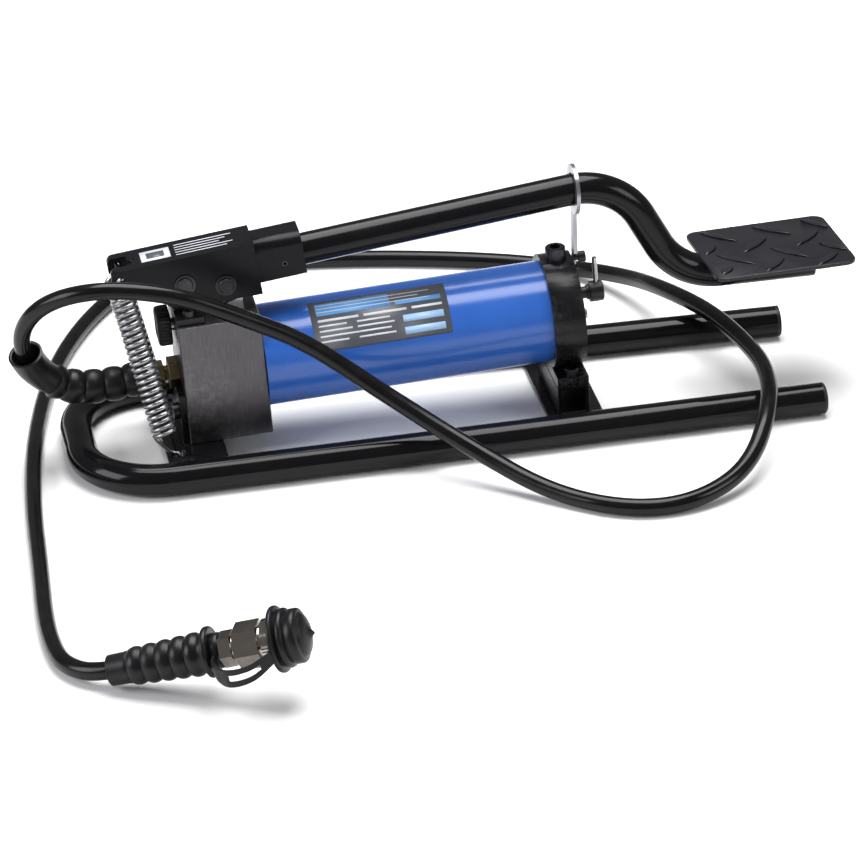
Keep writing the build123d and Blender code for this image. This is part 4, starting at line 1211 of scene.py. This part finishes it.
CAMERA_PLACE = (-0.535538, -3.045156, 1.569076)
CAMERA_DIP = 0.474075
CAMERA_TURN = 0.168129
CAMERA_ROLL = -0.038113
CAMERA_LENS = 181.918


def soft_light(name, place, target, size, power, colour=(1, 1, 1)):
    """A square area light that faces a point."""
    data = bpy.data.lights.new(name, "AREA")
    data.size = size
    data.energy = power
    data.color = colour
    lamp = bpy.data.objects.new(name, data)
    lamp.location = place
    lamp.rotation_euler = (Vector(target) - Vector(place)).to_track_quat("-Z", "Y").to_euler()
    bpy.context.scene.collection.objects.link(lamp)


class PUMP_OT_stage(bpy.types.Operator):
    """Set the pale floor, the soft lights and the camera"""

    bl_idname = "pump.stage"
    bl_label = "Set Stage"

    def execute(self, context):
        scene = context.scene
        bm = bmesh.new()
        bmesh.ops.create_grid(bm, x_segments=8, y_segments=8, size=12)
        white = bpy.data.materials.new("Pale floor")
        white.use_nodes = True
        shader = white.node_tree.nodes["Principled BSDF"]
        shader.inputs["Base Color"].default_value = (0.92, 0.92, 0.92, 1)
        shader.inputs["Roughness"].default_value = 0.9
        shader.inputs["Specular IOR Level"].default_value = 0.1
        floor = publish("floor", bm, white)
        floor.location.z = -0.0004

        world = bpy.data.worlds.new("Studio")
        world.use_nodes = True
        background = world.node_tree.nodes["Background"]
        background.inputs["Color"].default_value = (1, 1, 1, 1)
        background.inputs["Strength"].default_value = 0.2
        scene.world = world
        middle = (-0.03, -0.02, 0.06)
        soft_light("Overhead", (0.1, 0.25, 1.9), middle, 1.5, 64)
        soft_light("Left panel", (-1.9, -0.5, 0.9), middle, 1.1, 26, (0.97, 0.97, 1.0))
        soft_light("Right panel", (1.8, -1.2, 1.1), middle, 0.9, 12)

        e, a, roll = CAMERA_DIP, CAMERA_TURN, CAMERA_ROLL
        ahead = Vector((math.sin(a) * math.cos(e), math.cos(a) * math.cos(e), -math.sin(e)))
        right = Vector((math.cos(a), -math.sin(a), 0))
        up = right.cross(ahead)
        x = right * math.cos(roll) + up * math.sin(roll)
        y = up * math.cos(roll) - right * math.sin(roll)
        data = bpy.data.cameras.new("Camera")
        data.sensor_width = 36.0
        data.lens = CAMERA_LENS
        data.clip_end = 60
        camera = bpy.data.objects.new("Camera", data)
        turn = Matrix((x, y, -ahead)).transposed().to_4x4()
        turn.translation = CAMERA_PLACE
        camera.matrix_world = turn
        scene.collection.objects.link(camera)
        scene.camera = camera
        scene.view_settings.view_transform = "Standard"
        return {"FINISHED"}


class PUMP_PT_panel(bpy.types.Panel):
    """Foot pump builder"""

    bl_label = "Foot Pump"
    bl_idname = "PUMP_PT_panel"
    bl_space_type = "VIEW_3D"
    bl_region_type = "UI"
    bl_category = "Foot Pump"

    def draw(self, context):
        settings = context.scene.pump
        for group in (settings.colours, settings.sizes):
            box = self.layout.box()
            for key in group.__annotations__:
                box.prop(group, key)
        for step in STEPS:
            self.layout.operator(step.bl_idname)


STEPS = (
    PUMP_OT_finishes,
    PUMP_OT_stage,
    PUMP_OT_hose,
    PUMP_OT_solids,
    PUMP_OT_pump_boot,
    PUMP_OT_coupler_boot,
    PUMP_OT_dust_cap,
    PUMP_OT_strap,
    PUMP_OT_declare_hose,
    PUMP_OT_springs,
    PUMP_OT_pedal,
    PUMP_OT_tank_label,
    PUMP_OT_lever_label,
    PUMP_OT_knob,
)
CLASSES = (PumpColours, PumpSizes, PumpSettings, *STEPS, PUMP_PT_panel)


def register():
    for cls in CLASSES:
        bpy.utils.register_class(cls)
    bpy.types.Scene.pump = PointerProperty(type=PumpSettings)


def unregister():
    del bpy.types.Scene.pump
    for cls in reversed(CLASSES):
        bpy.utils.unregister_class(cls)


def main():
    """Build everything in order."""
    register()
    for step in STEPS:
        getattr(bpy.ops.pump, step.bl_idname.removeprefix("pump."))()


if __name__ == "__main__":
    main()
